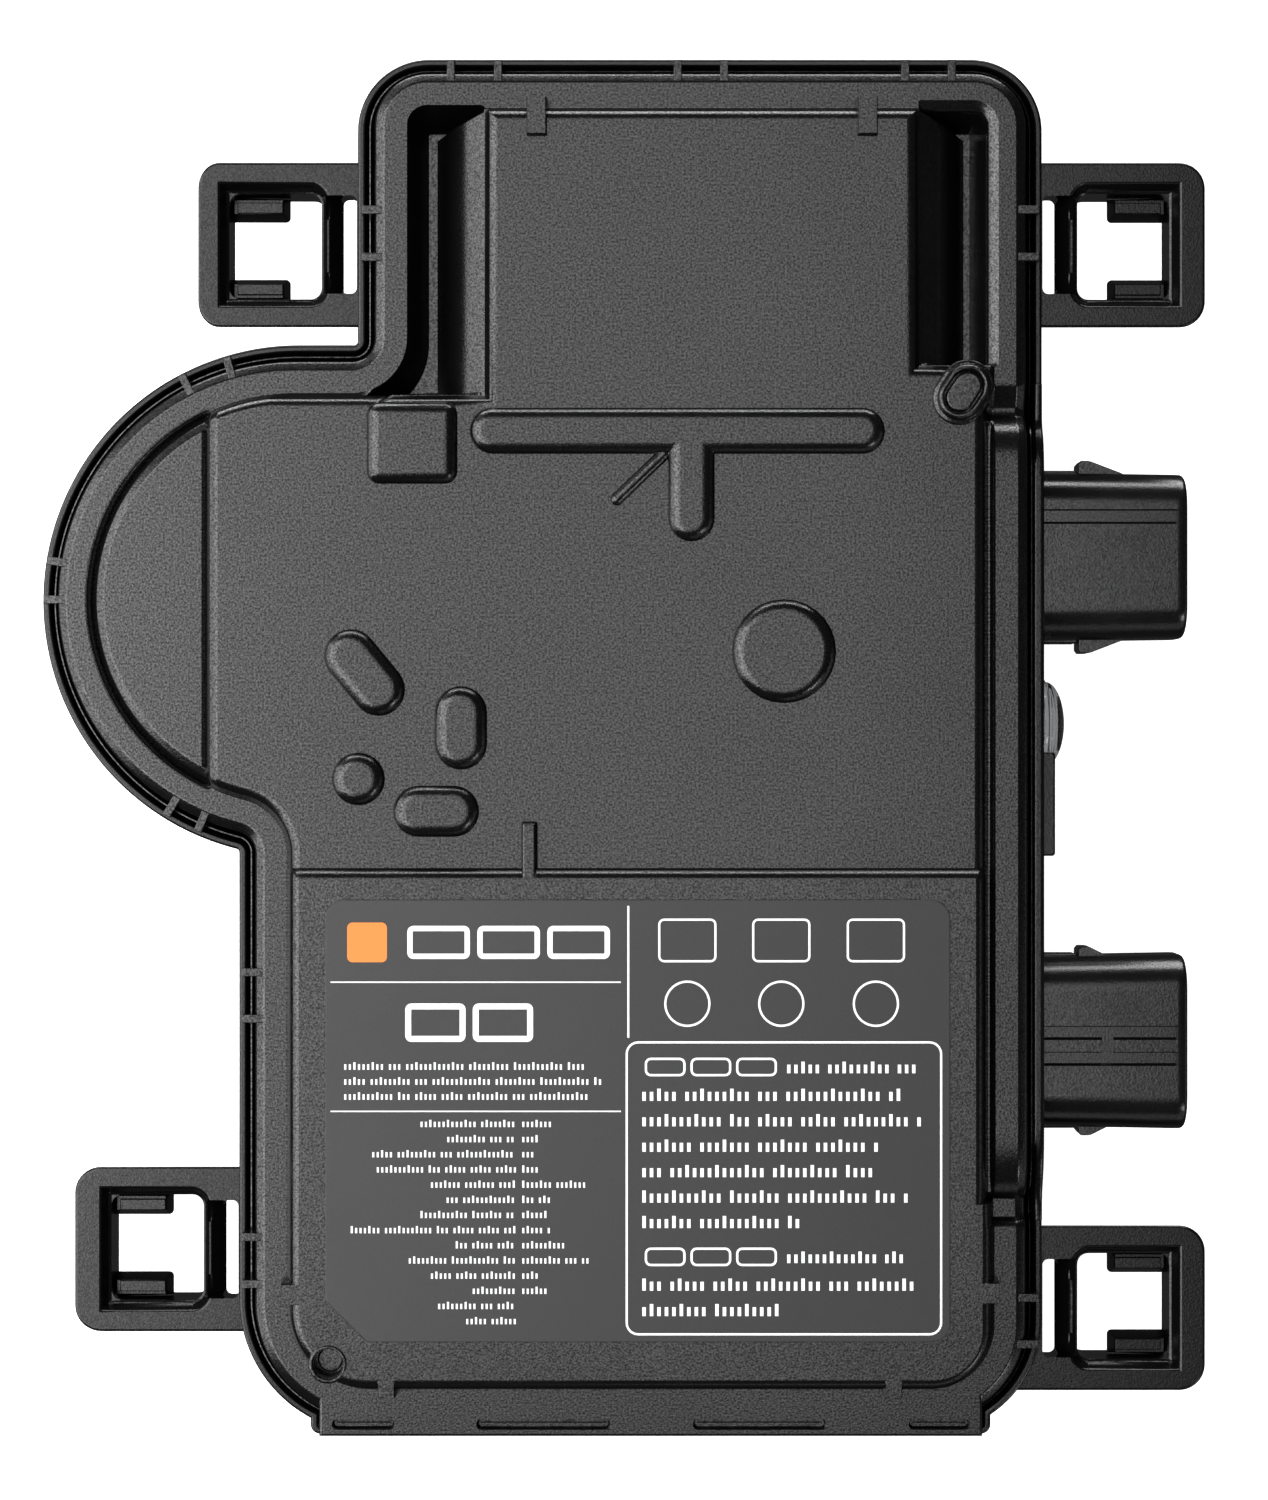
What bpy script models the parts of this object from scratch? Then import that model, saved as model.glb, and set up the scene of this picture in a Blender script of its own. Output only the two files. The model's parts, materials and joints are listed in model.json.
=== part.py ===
"""Micro inverter in a sealed polymer case: base with four mounting loops, lid, connectors and electronics.

The case lies on its back: +Z points out of the labelled face and +Y to the end with the capacitor box.
Dimensions below are in millimetres; every mesh is built in metres through MM.
"""

from math import atan2, cos, degrees, radians, sin, sqrt

import bmesh
import bpy
from mathutils import Vector

MM = 0.001
GAP = 0.3                    # clearance between neighbouring pieces

# Case outline in plan view
RIGHT_X = 64.3               # straight side that carries the connectors
BOX_X = -41.2                # left side of the capacitor box
LOWER_X = -59.5              # left side of the lower body
TOP_Y = 106.0
BOTTOM_Y = -106.0
TOP_R = 11.0                 # corners of the capacitor box
LOWER_LEFT_R = 20.8
LOWER_RIGHT_R = 17.7
LOBE_X = -50.3               # round lobe on the left
LOBE_Y = 22.5
LOBE_R = 39.45
NOTCH_R = 0.6                # fillet where the lobe meets the straight sides

# Heights above the back
FLOOR_Z = 2.0
FLARE_Z = 15.6               # underside of the rim that stands out from the bucket
LEDGE_Z = 16.0               # seat of the perimeter seal
RIM_Z = 21.0                 # top of the base's rim
BAND_Z = 24.0                # flat band around the lid
LOBE_Z = 25.3                # lid over the lobe
DECK_Z = 27.5                # main deck of the lid
PAD_Z = 28.6                 # raised pads on the deck
LABEL_Z = 29.5               # label plateau and the six lugs
TOP_Z = 30.2                 # label face, the highest point
HUMP_RISE = 2.4              # how far the rim climbs over the connectors

# Insets from the case outline
RIM_WALL = 1.2
BUCKET_INSET = 3.0
CAVITY_INSET = 5.2
LID_INSET = 2.5
BAND_INSET = 4.0
BAND_END = 7.7
LID_SKIRT = 5.4
LIP_LOW_X = -48.0            # the lid reaches over the lower edge between these
LIP_HIGH_X = 56.2

# Hump over the connectors along the right side
HUMP_LOW_Y = -69.2
HUMP_FLAT_LOW_Y = -58.6
HUMP_FLAT_HIGH_Y = 41.0
HUMP_HIGH_Y = 51.5
CREASE_DROP = 1.6            # dip between the band and the hump
CREASE_RAMP = 3.4

# Mounting loops
LOOP_REACH = 25.43
LOOP_HALF = 12.75
LOOP_CORNER_R = 4.0
LOOP_TOP_Z = 18.0
ARM_BOTTOM_Z = 13.2
SOCKET_BOTTOM_Z = 8.0
SLOT_NEAR = 0.25             # slot and window, measured outwards from the case side
SLOT_FAR = 2.7
SLOT_HALF = 7.6
WINDOW_NEAR = 5.2
WINDOW_FAR = 20.2
WINDOW_HALF = 8.2
HOOK_START = 10.6
HOOK_WIDTH = 2.8
HOOK_TOP_Z = 13.2
RECESS_DEPTH = 2.2
RECESS_MARGIN = 1.6
LOOPS = {                    # name: (case side, direction outwards, centre height along Y)
    "upper_left": (BOX_X, -1, 77.3),
    "lower_left": (LOWER_X, -1, -77.3),
    "upper_right": (RIGHT_X, 1, 77.3),
    "lower_right": (RIGHT_X, 1, -86.6),
}

# Connectors on the right side
CONNECTOR_Z = 10.6
DC_Y = 29.1
AC_Y = -45.2
SHROUD_START_X = RIGHT_X + GAP
SHROUD_END_X = 87.0
SHROUD_WALL = 1.8
SHROUD_HALF_Z = 8.0
SHROUD_CORNER_R = 5.4
DC_HALF_Y = 12.6
AC_HALF_Y = 12.9
NECK_HALF_Y = 9.5
NECK_HALF_Z = 3.6
SOCKET_FLOOR_X = 70.0
PIN_SPREAD = 6.4
PIN_R = 1.3
SEAL_RECESS = 1.6

# Status lens
LENS_Y = 3.6
LENS_R = 7.0
LENS_STEM_R = 3.6
LENS_TIP_X = 66.9

# Circuit board
BOARD_INSET = 6.2
BOARD_Z = 6.0
BOARD_TOP_Z = 7.6
PART_Z = BOARD_TOP_Z + GAP   # underside of the parts mounted on the board

ARC_STEPS = 8
LOBE_STEPS = 32


# ---------------------------------------------------------------- materials

def material(name, colour, roughness, metallic=0.0):
    """A Principled material, made once per name."""
    found = bpy.data.materials.get(name)
    if found:
        return found
    made = bpy.data.materials.new(name)
    made.use_nodes = True
    shader = made.node_tree.nodes["Principled BSDF"]
    shader.inputs["Base Color"].default_value = (*colour, 1.0)
    shader.inputs["Roughness"].default_value = roughness
    shader.inputs["Metallic"].default_value = metallic
    made.diffuse_color = (*colour, 1.0)
    return made


def case_polymer():
    return material("case_polymer", (0.070, 0.071, 0.071), 0.5)


def connector_polymer():
    return material("connector_polymer", (0.055, 0.056, 0.056), 0.4)


def seal_rubber():
    return material("seal_rubber", (0.03, 0.03, 0.03), 0.8)


def clear_plastic():
    return material("clear_plastic", (0.85, 0.88, 0.9), 0.08)


def label_film():
    return material("label_film", (0.085, 0.085, 0.088), 0.35)


def tinned_copper():
    return material("tinned_copper", (0.75, 0.72, 0.66), 0.3, 1.0)


def board_laminate():
    return material("board_laminate", (0.02, 0.16, 0.07), 0.5)


def aluminium():
    return material("aluminium", (0.78, 0.79, 0.80), 0.35, 1.0)


def capacitor_sleeve():
    return material("capacitor_sleeve", (0.04, 0.06, 0.14), 0.35)


def ferrite():
    return material("ferrite", (0.09, 0.085, 0.08), 0.6)


def winding_copper():
    return material("winding_copper", (0.72, 0.32, 0.14), 0.35, 1.0)


def moulding_compound():
    return material("moulding_compound", (0.03, 0.03, 0.032), 0.55)


def thermal_silicone():
    return material("thermal_silicone", (0.45, 0.55, 0.62), 0.85)


def potting_resin():
    return material("potting_resin", (0.10, 0.09, 0.08), 0.6)


def film_casing():
    return material("film_casing", (0.62, 0.45, 0.12), 0.45)


def varistor_coat():
    return material("varistor_coat", (0.10, 0.22, 0.42), 0.5)


# ---------------------------------------------------------------- outlines

def arc(centre, radius, start, end, steps=ARC_STEPS):
    """Points on a circular arc, both ends included; angles in degrees."""
    points = []
    for step in range(steps + 1):
        angle = radians(start + (end - start) * step / steps)
        points.append((centre[0] + radius * cos(angle), centre[1] + radius * sin(angle)))
    return points


def lower_notch():
    """Centre of the small fillet below the lobe and the lobe angle at which it starts."""
    x = LOWER_X - NOTCH_R
    y = LOBE_Y - sqrt((LOBE_R + NOTCH_R) ** 2 - (x - LOBE_X) ** 2)
    return (x, y), degrees(atan2(y - LOBE_Y, x - LOBE_X)) % 360


def case_outline(inset):
    """The case outline moved inwards by inset, counter-clockwise, always with the same point count."""
    notch, notch_angle = lower_notch()
    upper_notch = (BOX_X - NOTCH_R, LOBE_Y + LOBE_R + NOTCH_R)
    points = arc((RIGHT_X - LOWER_RIGHT_R, BOTTOM_Y + LOWER_RIGHT_R), LOWER_RIGHT_R - inset, -90, 0)
    points += arc((RIGHT_X - TOP_R, TOP_Y - TOP_R), TOP_R - inset, 0, 90)
    points += arc((BOX_X + TOP_R, TOP_Y - TOP_R), TOP_R - inset, 90, 180)
    points += arc(upper_notch, NOTCH_R + inset, 0, -90, 5)
    points += arc((LOBE_X, LOBE_Y), LOBE_R - inset, 90, notch_angle, LOBE_STEPS)
    points += arc(notch, NOTCH_R + inset, notch_angle - 180, 0, 5)
    points += arc((LOWER_X + LOWER_LEFT_R, BOTTOM_Y + LOWER_LEFT_R), LOWER_LEFT_R - inset, 180, 270)
    return points


def rounded_rect(centre, half_u, half_v, corner, steps=4):
    """A rectangle with round corners, counter-clockwise."""
    points = []
    quarters = ((1, -1, -90), (1, 1, 0), (-1, 1, 90), (-1, -1, 180))
    for sign_u, sign_v, start in quarters:
        middle = (centre[0] + sign_u * (half_u - corner), centre[1] + sign_v * (half_v - corner))
        points += arc(middle, corner, start, start + 90, steps)
    return points


def stadium(start, end, radius, steps=ARC_STEPS):
    """A slot shape: two half circles joined by straight sides."""
    heading = degrees(atan2(end[1] - start[1], end[0] - start[0]))
    points = arc(end, radius, heading - 90, heading + 90, steps)
    points += arc(start, radius, heading + 90, heading + 270, steps)
    return points


def circle(centre, radius, steps=24):
    return arc(centre, radius, 0, 360, steps)[:-1]


# ---------------------------------------------------------------- solids

def place(axis, u, v, along):
    """World point from a position (u, v) in a section and the distance along the axis."""
    if axis == "X":
        return Vector((along, u, v)) * MM
    if axis == "Y":
        return Vector((u, along, v)) * MM
    return Vector((u, v, along)) * MM


def to_object(mesh_builder, name):
    mesh = bpy.data.meshes.new(name)
    bmesh.ops.recalc_face_normals(mesh_builder, faces=mesh_builder.faces)
    mesh_builder.to_mesh(mesh)
    mesh_builder.free()
    made = bpy.data.objects.new(name, mesh)
    bpy.context.scene.collection.objects.link(made)
    return made


def bridge(builder, lower, upper):
    """Quads between two vertex rings of the same length."""
    count = len(lower)
    for index in range(count):
        after = (index + 1) % count
        builder.faces.new((lower[index], lower[after], upper[after], upper[index]))


def loft(name, rings, axis="Z", closed=False):
    """A closed body through rings of (outline, distance along the axis).

    The ends are capped, or with closed=True the last ring is joined to the first.
    """
    builder = bmesh.new()
    layers = []
    for outline, along in rings:
        layers.append([builder.verts.new(place(axis, u, v, along)) for u, v in outline])
    for lower, upper in zip(layers, layers[1:]):
        bridge(builder, lower, upper)
    if closed:
        bridge(builder, layers[-1], layers[0])
    else:
        builder.faces.new(layers[0])
        builder.faces.new(layers[-1])
    return to_object(builder, name)


def case_loft(name, profile, closed=False):
    """A body that follows the case outline: profile is a list of (inset, height)."""
    return loft(name, [(case_outline(inset), z) for inset, z in profile], closed=closed)


def prism(name, outline, low, high, axis="Z"):
    return loft(name, [(outline, low), (outline, high)], axis)


def box(name, low, high):
    outline = [(low[0], low[1]), (high[0], low[1]), (high[0], high[1]), (low[0], high[1])]
    return prism(name, outline, low[2], high[2])


def cylinder(name, axis, centre, radius, low, high, steps=24):
    """A cylinder along an axis; centre is its position in the section across that axis."""
    return prism(name, circle(centre, radius, steps), low, high, axis)


def turned(name, axis, centre, profile, steps=24, closed=False):
    """A turned body: profile is a list of (radius, distance along the axis)."""
    return loft(name, [(circle(centre, radius, steps), along) for radius, along in profile], axis, closed)


def is_closed(mesh):
    """True where every edge of the mesh has exactly two faces."""
    builder = bmesh.new()
    builder.from_mesh(mesh)
    closed = all(len(edge.link_faces) == 2 for edge in builder.edges)
    builder.free()
    return closed


def boolean_mesh(target, tool, operation, solver):
    modifier = target.modifiers.new(operation.lower(), "BOOLEAN")
    modifier.object = tool
    modifier.operation = operation
    modifier.solver = solver
    graph = bpy.context.evaluated_depsgraph_get()
    mesh = bpy.data.meshes.new_from_object(target.evaluated_get(graph))
    target.modifiers.clear()
    return mesh


def combine(target, tool, operation):
    """Boolean of two bodies with the exact solver, or the manifold one where that leaves a body open."""
    mesh = boolean_mesh(target, tool, operation, "EXACT")
    if not is_closed(mesh):
        bpy.data.meshes.remove(mesh)
        mesh = boolean_mesh(target, tool, operation, "MANIFOLD")
    used = target.data
    target.data = mesh
    bpy.data.meshes.remove(used)
    bpy.data.objects.remove(tool)
    return target


def add(target, *tools):
    for tool in tools:
        combine(target, tool, "UNION")
    return target


def cut(target, *tools):
    for tool in tools:
        combine(target, tool, "DIFFERENCE")
    return target


def keep(target, tool):
    return combine(target, tool, "INTERSECT")


def gather(name, pieces):
    """Several separate bodies in one object, to be used as one Boolean tool."""
    builder = bmesh.new()
    for piece in pieces:
        builder.from_mesh(piece.data)
        bpy.data.objects.remove(piece)
    return to_object(builder, name)


def finish(piece, name, surface):
    """Clean up coplanar leftovers, name the piece and give it its material and shading."""
    builder = bmesh.new()
    builder.from_mesh(piece.data)
    bmesh.ops.remove_doubles(builder, verts=builder.verts, dist=2e-6)
    bmesh.ops.dissolve_limit(builder, angle_limit=radians(0.5), verts=builder.verts, edges=builder.edges)
    bmesh.ops.triangulate(builder, faces=[face for face in builder.faces if len(face.verts) > 4])
    builder.to_mesh(piece.data)
    builder.free()
    piece.name = name
    piece.data.name = name
    piece.data.materials.clear()
    piece.data.materials.append(surface)
    piece.data.shade_smooth()
    piece.data.set_sharp_from_angle(angle=radians(35))
    return piece


# ---------------------------------------------------------------- base housing

def loop_span(side, outwards, near, far):
    """X limits, low first, of a stretch measured outwards from the case side."""
    first = side + outwards * near
    second = side + outwards * far
    return min(first, second), max(first, second)


def loop_box(side, outwards, middle, near, far, low_v, high_v, low_z, high_z):
    low_x, high_x = loop_span(side, outwards, near, far)
    return box("loop_box", (low_x, middle + low_v, low_z), (high_x, middle + high_v, high_z))


def loop_plate(side, outwards, middle, near, far, low_z, high_z):
    """The loop's outline, round at the two outer corners."""
    low_x, high_x = loop_span(side, outwards, near, far)
    centre = ((low_x + high_x) / 2, middle)
    plate = prism("loop_plate", rounded_rect(centre, (high_x - low_x) / 2, LOOP_HALF, LOOP_CORNER_R),
                  low_z, high_z)
    inner_low, inner_high = loop_span(side, outwards, near, near + LOOP_CORNER_R + 1)
    return add(plate, box("root", (inner_low, middle - LOOP_HALF, low_z),
                          (inner_high, middle + LOOP_HALF, high_z)))


def window_outline(side, outwards, middle, margin, corner):
    low_x, high_x = loop_span(side, outwards, WINDOW_NEAR - margin, WINDOW_FAR + margin)
    centre = ((low_x + high_x) / 2, middle)
    return rounded_rect(centre, (high_x - low_x) / 2, WINDOW_HALF + margin, corner, 3)


def mounting_loop(side, outwards, middle):
    """A snap loop: arm plate, deeper socket round a square window, two hooks, a latch bar and its slot."""
    loop = loop_plate(side, outwards, middle, -0.9, LOOP_REACH, ARM_BOTTOM_Z, LOOP_TOP_Z)
    socket = loop_plate(side, outwards, middle, SLOT_FAR + 0.2, LOOP_REACH, SOCKET_BOTTOM_Z, LOOP_TOP_Z - 1)
    add(loop, socket)
    recess = loft("recess", [
        (window_outline(side, outwards, middle, 0.0, 1.6), LOOP_TOP_Z - RECESS_DEPTH),
        (window_outline(side, outwards, middle, RECESS_MARGIN, 1.6), LOOP_TOP_Z + 0.2),
    ])
    window = prism("window", window_outline(side, outwards, middle, 0.0, 1.6),
                   SOCKET_BOTTOM_Z - 1, LOOP_TOP_Z + 1)
    slot = loop_box(side, outwards, middle, SLOT_NEAR, SLOT_FAR, -SLOT_HALF, SLOT_HALF,
                    SOCKET_BOTTOM_Z - 1, LOOP_TOP_Z + 1)
    bar_top = loop_box(side, outwards, middle, SLOT_FAR - 0.3, WINDOW_NEAR + 0.3, -SLOT_HALF, SLOT_HALF,
                       LOOP_TOP_Z - RECESS_DEPTH, LOOP_TOP_Z + 1)
    cut(loop, recess, window, slot, bar_top)
    for direction in (-1, 1):
        start = direction * (WINDOW_HALF - HOOK_WIDTH)
        end = direction * (WINDOW_HALF + 0.5)
        add(loop, loop_box(side, outwards, middle, HOOK_START, WINDOW_FAR + 0.5, min(start, end),
                           max(start, end), SOCKET_BOTTOM_Z, HOOK_TOP_Z))
    catch = loop_box(side, outwards, middle, WINDOW_NEAR - 0.4, WINDOW_NEAR + 0.45, -4.2, 4.2,
                     LOOP_TOP_Z - 4.4, LOOP_TOP_Z - 2.9)
    return add(loop, catch)


def hump_profile(low_z, level, rise, crease):
    """Side view (Y, Z) of a rim stretch: a crease at each end and the rise over the connectors."""
    dip = level - crease
    points = [(HUMP_LOW_Y - CREASE_RAMP, low_z), (HUMP_HIGH_Y + CREASE_RAMP, low_z)]
    points.append((HUMP_HIGH_Y + CREASE_RAMP, level))
    top = level + rise
    for step in range(7):
        share = step / 6
        points.append((HUMP_HIGH_Y + (HUMP_FLAT_HIGH_Y - HUMP_HIGH_Y) * share,
                       dip + (top - dip) * (share * share * (3 - 2 * share))))
    for step in range(7):
        share = step / 6
        points.append((HUMP_FLAT_LOW_Y + (HUMP_LOW_Y - HUMP_FLAT_LOW_Y) * share,
                       top - (top - dip) * (share * share * (3 - 2 * share))))
    points.append((HUMP_LOW_Y - CREASE_RAMP, level))
    return points


def connector_cutters(middle):
    """The neck hole through the side wall and the seal's recess in its outer face."""
    neck = prism("neck_hole", rounded_rect((middle, CONNECTOR_Z), NECK_HALF_Y + GAP, NECK_HALF_Z + GAP, 3.5),
                 RIGHT_X - 8, RIGHT_X + 1, "X")
    recess_outline = rounded_rect((middle, CONNECTOR_Z), NECK_HALF_Y + 1.7, NECK_HALF_Z + 1.7, 4.6)
    recess = prism("seal_recess", recess_outline, RIGHT_X - SEAL_RECESS, RIGHT_X + 1, "X")
    return neck, recess


STANDOFFS = ((-50, 50), (-70, 8), (-48, -90), (48, -92), (-30, 92), (50, 88), (-20, -20), (52, 6))
STANDOFF_R = 3.0


def base_housing():
    """Bucket with a flared rim, four loops, a connector wall, standoffs and a stiffened back."""
    base = case_loft("base", [
        (4.2, 0.0), (3.4, 0.8), (BUCKET_INSET, 13.4), (0.6, 15.2), (0.0, FLARE_Z + 0.4), (0.0, RIM_Z),
        (RIM_WALL, RIM_Z), (RIM_WALL, LEDGE_Z), (CAVITY_INSET, LEDGE_Z), (CAVITY_INSET, FLOOR_Z),
    ])
    add(base, box("connector_wall", (RIGHT_X - 5.6, -65, 0.8), (RIGHT_X, 49, LEDGE_Z)))
    add(base, box("tab", (LIP_LOW_X - GAP, BOTTOM_Y, 13.6), (LIP_HIGH_X + GAP, BOTTOM_Y + 6.5, LEDGE_Z)))
    rim_hump = prism("rim_hump", hump_profile(RIM_Z - 2.0, RIM_Z, HUMP_RISE, 0.0),
                     RIGHT_X - RIM_WALL, RIGHT_X, "X")
    add(base, rim_hump)
    add(base, box("lens_hood", (RIGHT_X - 0.8, -16.8, 18.0), (RIGHT_X + 1.9, -0.8, RIM_Z + 0.6)))
    for side, outwards, middle in LOOPS.values():
        add(base, mounting_loop(side, outwards, middle))
    cut(base, box("lip_seat", (LIP_LOW_X - GAP, BOTTOM_Y - 1, LEDGE_Z),
                  (LIP_HIGH_X + GAP, BOTTOM_Y + 6, RIM_Z + 1)))
    for middle in (DC_Y, AC_Y):
        cut(base, *connector_cutters(middle))
    cut(base, cylinder("lens_hole", "X", (LENS_Y, CONNECTOR_Z), LENS_STEM_R + GAP, RIGHT_X - 8, RIGHT_X + 1))
    pillars = [cylinder("standoff", "Z", centre, STANDOFF_R, FLOOR_Z - 0.6, BOARD_Z - GAP, 12)
               for centre in STANDOFFS]
    add(base, gather("standoffs", pillars))
    grooves = []
    for index in range(6):
        y = -78 + index * 26
        grooves.append(prism("groove", rounded_rect((2, y), 46, 4, 3.9, 3), -1, 0.6))
    cut(base, gather("grooves", grooves))
    return finish(base, "base_housing", case_polymer())


# ---------------------------------------------------------------- lid

LEFT_TRENCH_LOW_Y = 53.6
RIGHT_TRENCH_LOW_Y = 57.4
TRENCH_FLOOR_Z = 14.2
TRENCH_INSET = 7.9           # outer wall of a trench at the band, and at its floor
TRENCH_FLOOR_INSET = 10.7
SHOULDER_R = 7.3
SHOULDER_Z = DECK_Z - 1.0 - SHOULDER_R
LEFT_SHOULDER_X = -21.4      # where the left shoulder meets the deck
RIGHT_SHOULDER_X = 45.2
LID_WALL = 1.7


def trench(name, shoulder_x, outwards, low_y, grow):
    """Space beside the capacitor box: a sloping outer wall and a quarter-round shoulder."""
    space = case_loft(name, [
        (TRENCH_FLOOR_INSET - grow, TRENCH_FLOOR_Z - grow), (TRENCH_INSET - grow, BAND_Z),
        (TRENCH_INSET - grow, BAND_Z + 6),
    ])
    shoulder = [(shoulder_x, BAND_Z + 5), (shoulder_x + outwards * 25, BAND_Z + 5),
                (shoulder_x + outwards * 25, 0)]
    for step in range(7):
        angle = radians(15 * step)
        reach = (SHOULDER_R - grow) * cos(angle)
        if step == 0:
            shoulder.append((shoulder_x + outwards * reach, 0))
        shoulder.append((shoulder_x + outwards * reach, SHOULDER_Z + (SHOULDER_R - grow) * sin(angle)))
    return keep(space, prism("shoulder", shoulder, low_y - grow, TOP_Y, "Y"))


def trench_walls(shoulder_x, outwards, low_y):
    """The walls round a trench, below the band on the outer side and below the deck on the inner."""
    walls = trench("walls", shoulder_x, outwards, low_y, LID_WALL)
    low_x, high_x = sorted((shoulder_x + outwards * (SHOULDER_R - 0.3), shoulder_x + outwards * 40))
    return cut(walls, box("above_deck", (-95, 0, DECK_Z - 1.5), (95, 110, 40)),
               box("above_band", (low_x, low_y + 1, BAND_Z - 1), (high_x, 110, 40)),
               box("above_end", (-95, TOP_Y - 9, BAND_Z - 1), (95, 110, 40)))


def pad(name, outline_at, low_z, high_z, slope=0.7):
    """A raised pad with a sloping edge; outline_at gives its outline shrunk by an amount."""
    return loft(name, [
        (outline_at(-0.4), low_z), (outline_at(-0.4), low_z + 0.3), (outline_at(slope), high_z),
    ])


def stadium_pad(start, end, radius, high_z=PAD_Z):
    return pad("pad", lambda shrink: stadium(start, end, radius - shrink), DECK_Z - 0.8, high_z)


def lid_pads():
    """Pads that make room for tall parts: a bar with a stem, a strut, a square, ovals and a disc."""
    square = pad("square", lambda shrink: rounded_rect((-32.3, 46.1), 6.8 - shrink, 5.9 - shrink, 1.8),
                 DECK_Z - 0.8, PAD_Z)
    bar = stadium_pad((-20.1, 48.6), (36.0, 48.6), 3.5)
    stem = stadium_pad((10.1, 47.5), (10.1, 34.8), 3.5)
    strut = stadium_pad((6.0, 44.5), (-1.2, 37.6), 0.9, PAD_Z - 0.3)
    round_end = [((24.1, 14.6), (24.2, 14.6), 7.8), ((-41.6, 13.8), (-37.4, 8.7), 4.0),
                 ((-25.0, 5.4), (-25.0, 0.6), 4.0), ((-40.6, -4.8), (-40.5, -4.8), 4.0),
                 ((-31.4, -9.7), (-26.1, -9.7), 3.9)]
    return [square, bar, stem, strut] + [stadium_pad(*ends) for ends in round_end]


LUGS = ((-13.6, 97.2, 1.5, 2.9), (37.3, 97.2, 1.5, 2.9), (-51.2, -84.1, 1.9, 1.8),
        (55.5, -84.1, 1.9, 1.5), (-36.6, -98.6, 1.5, 1.6), (41.3, -98.6, 1.5, 1.6))
GROOVE_RIBS = {              # positions along each side of the groove between lid and rim
    "top": (-26.6, -19.4, 8.1, 15.2, 42.9, 50.0),
    "box": (82.1, 74.9),
    "lower_left": (-34.5, -41.6, -75.0, -82.2),
    "lower_right": (-84.3, -91.4),
}
LOBE_RIB_ANGLES = (117, 106, 171, 180, 239, 247)
RIB_REACH = (0.5, BAND_INSET + 0.2)


def groove_ribs():
    """Narrow ribs that centre the lid in the base's rim."""
    near, far = RIB_REACH
    half = 0.45
    low_z, high_z = LEDGE_Z + 3.4, BAND_Z - 0.3
    ribs = [box("rib", (x - half, TOP_Y - far, low_z), (x + half, TOP_Y - near, high_z))
            for x in GROOVE_RIBS["top"]]
    sides = (("box", BOX_X, 1), ("box", RIGHT_X, -1), ("lower_left", LOWER_X, 1),
             ("lower_right", RIGHT_X, -1))
    for key, side, inwards in sides:
        low_x, high_x = sorted((side + inwards * near, side + inwards * far))
        ribs += [box("rib", (low_x, y - half, low_z), (high_x, y + half, high_z)) for y in GROOVE_RIBS[key]]
    for angle in LOBE_RIB_ANGLES:
        heading = Vector((cos(radians(angle)), sin(radians(angle))))
        across = Vector((-heading.y, heading.x)) * half
        centre = Vector((LOBE_X, LOBE_Y))
        inner = centre + heading * (LOBE_R - far)
        outer = centre + heading * (LOBE_R - near)
        outline = [tuple(point) for point in (inner - across, outer - across, outer + across, inner + across)]
        ribs.append(prism("rib", outline, low_z, high_z))
    inside_rim = case_loft("inside_rim", [(RIM_WALL + GAP, low_z - 1), (RIM_WALL + GAP, high_z + 1)])
    return keep(gather("ribs", ribs), inside_rim)


FILL_PORT = ((50.8, 52.9), (52.0, 54.7))
FILL_RING_R = 3.2
FILL_HOLE_R = 2.4
VENT = (-44.9, -93.4)
VENT_RING_R = 3.0
VENT_HOLE_R = 2.3


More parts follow.
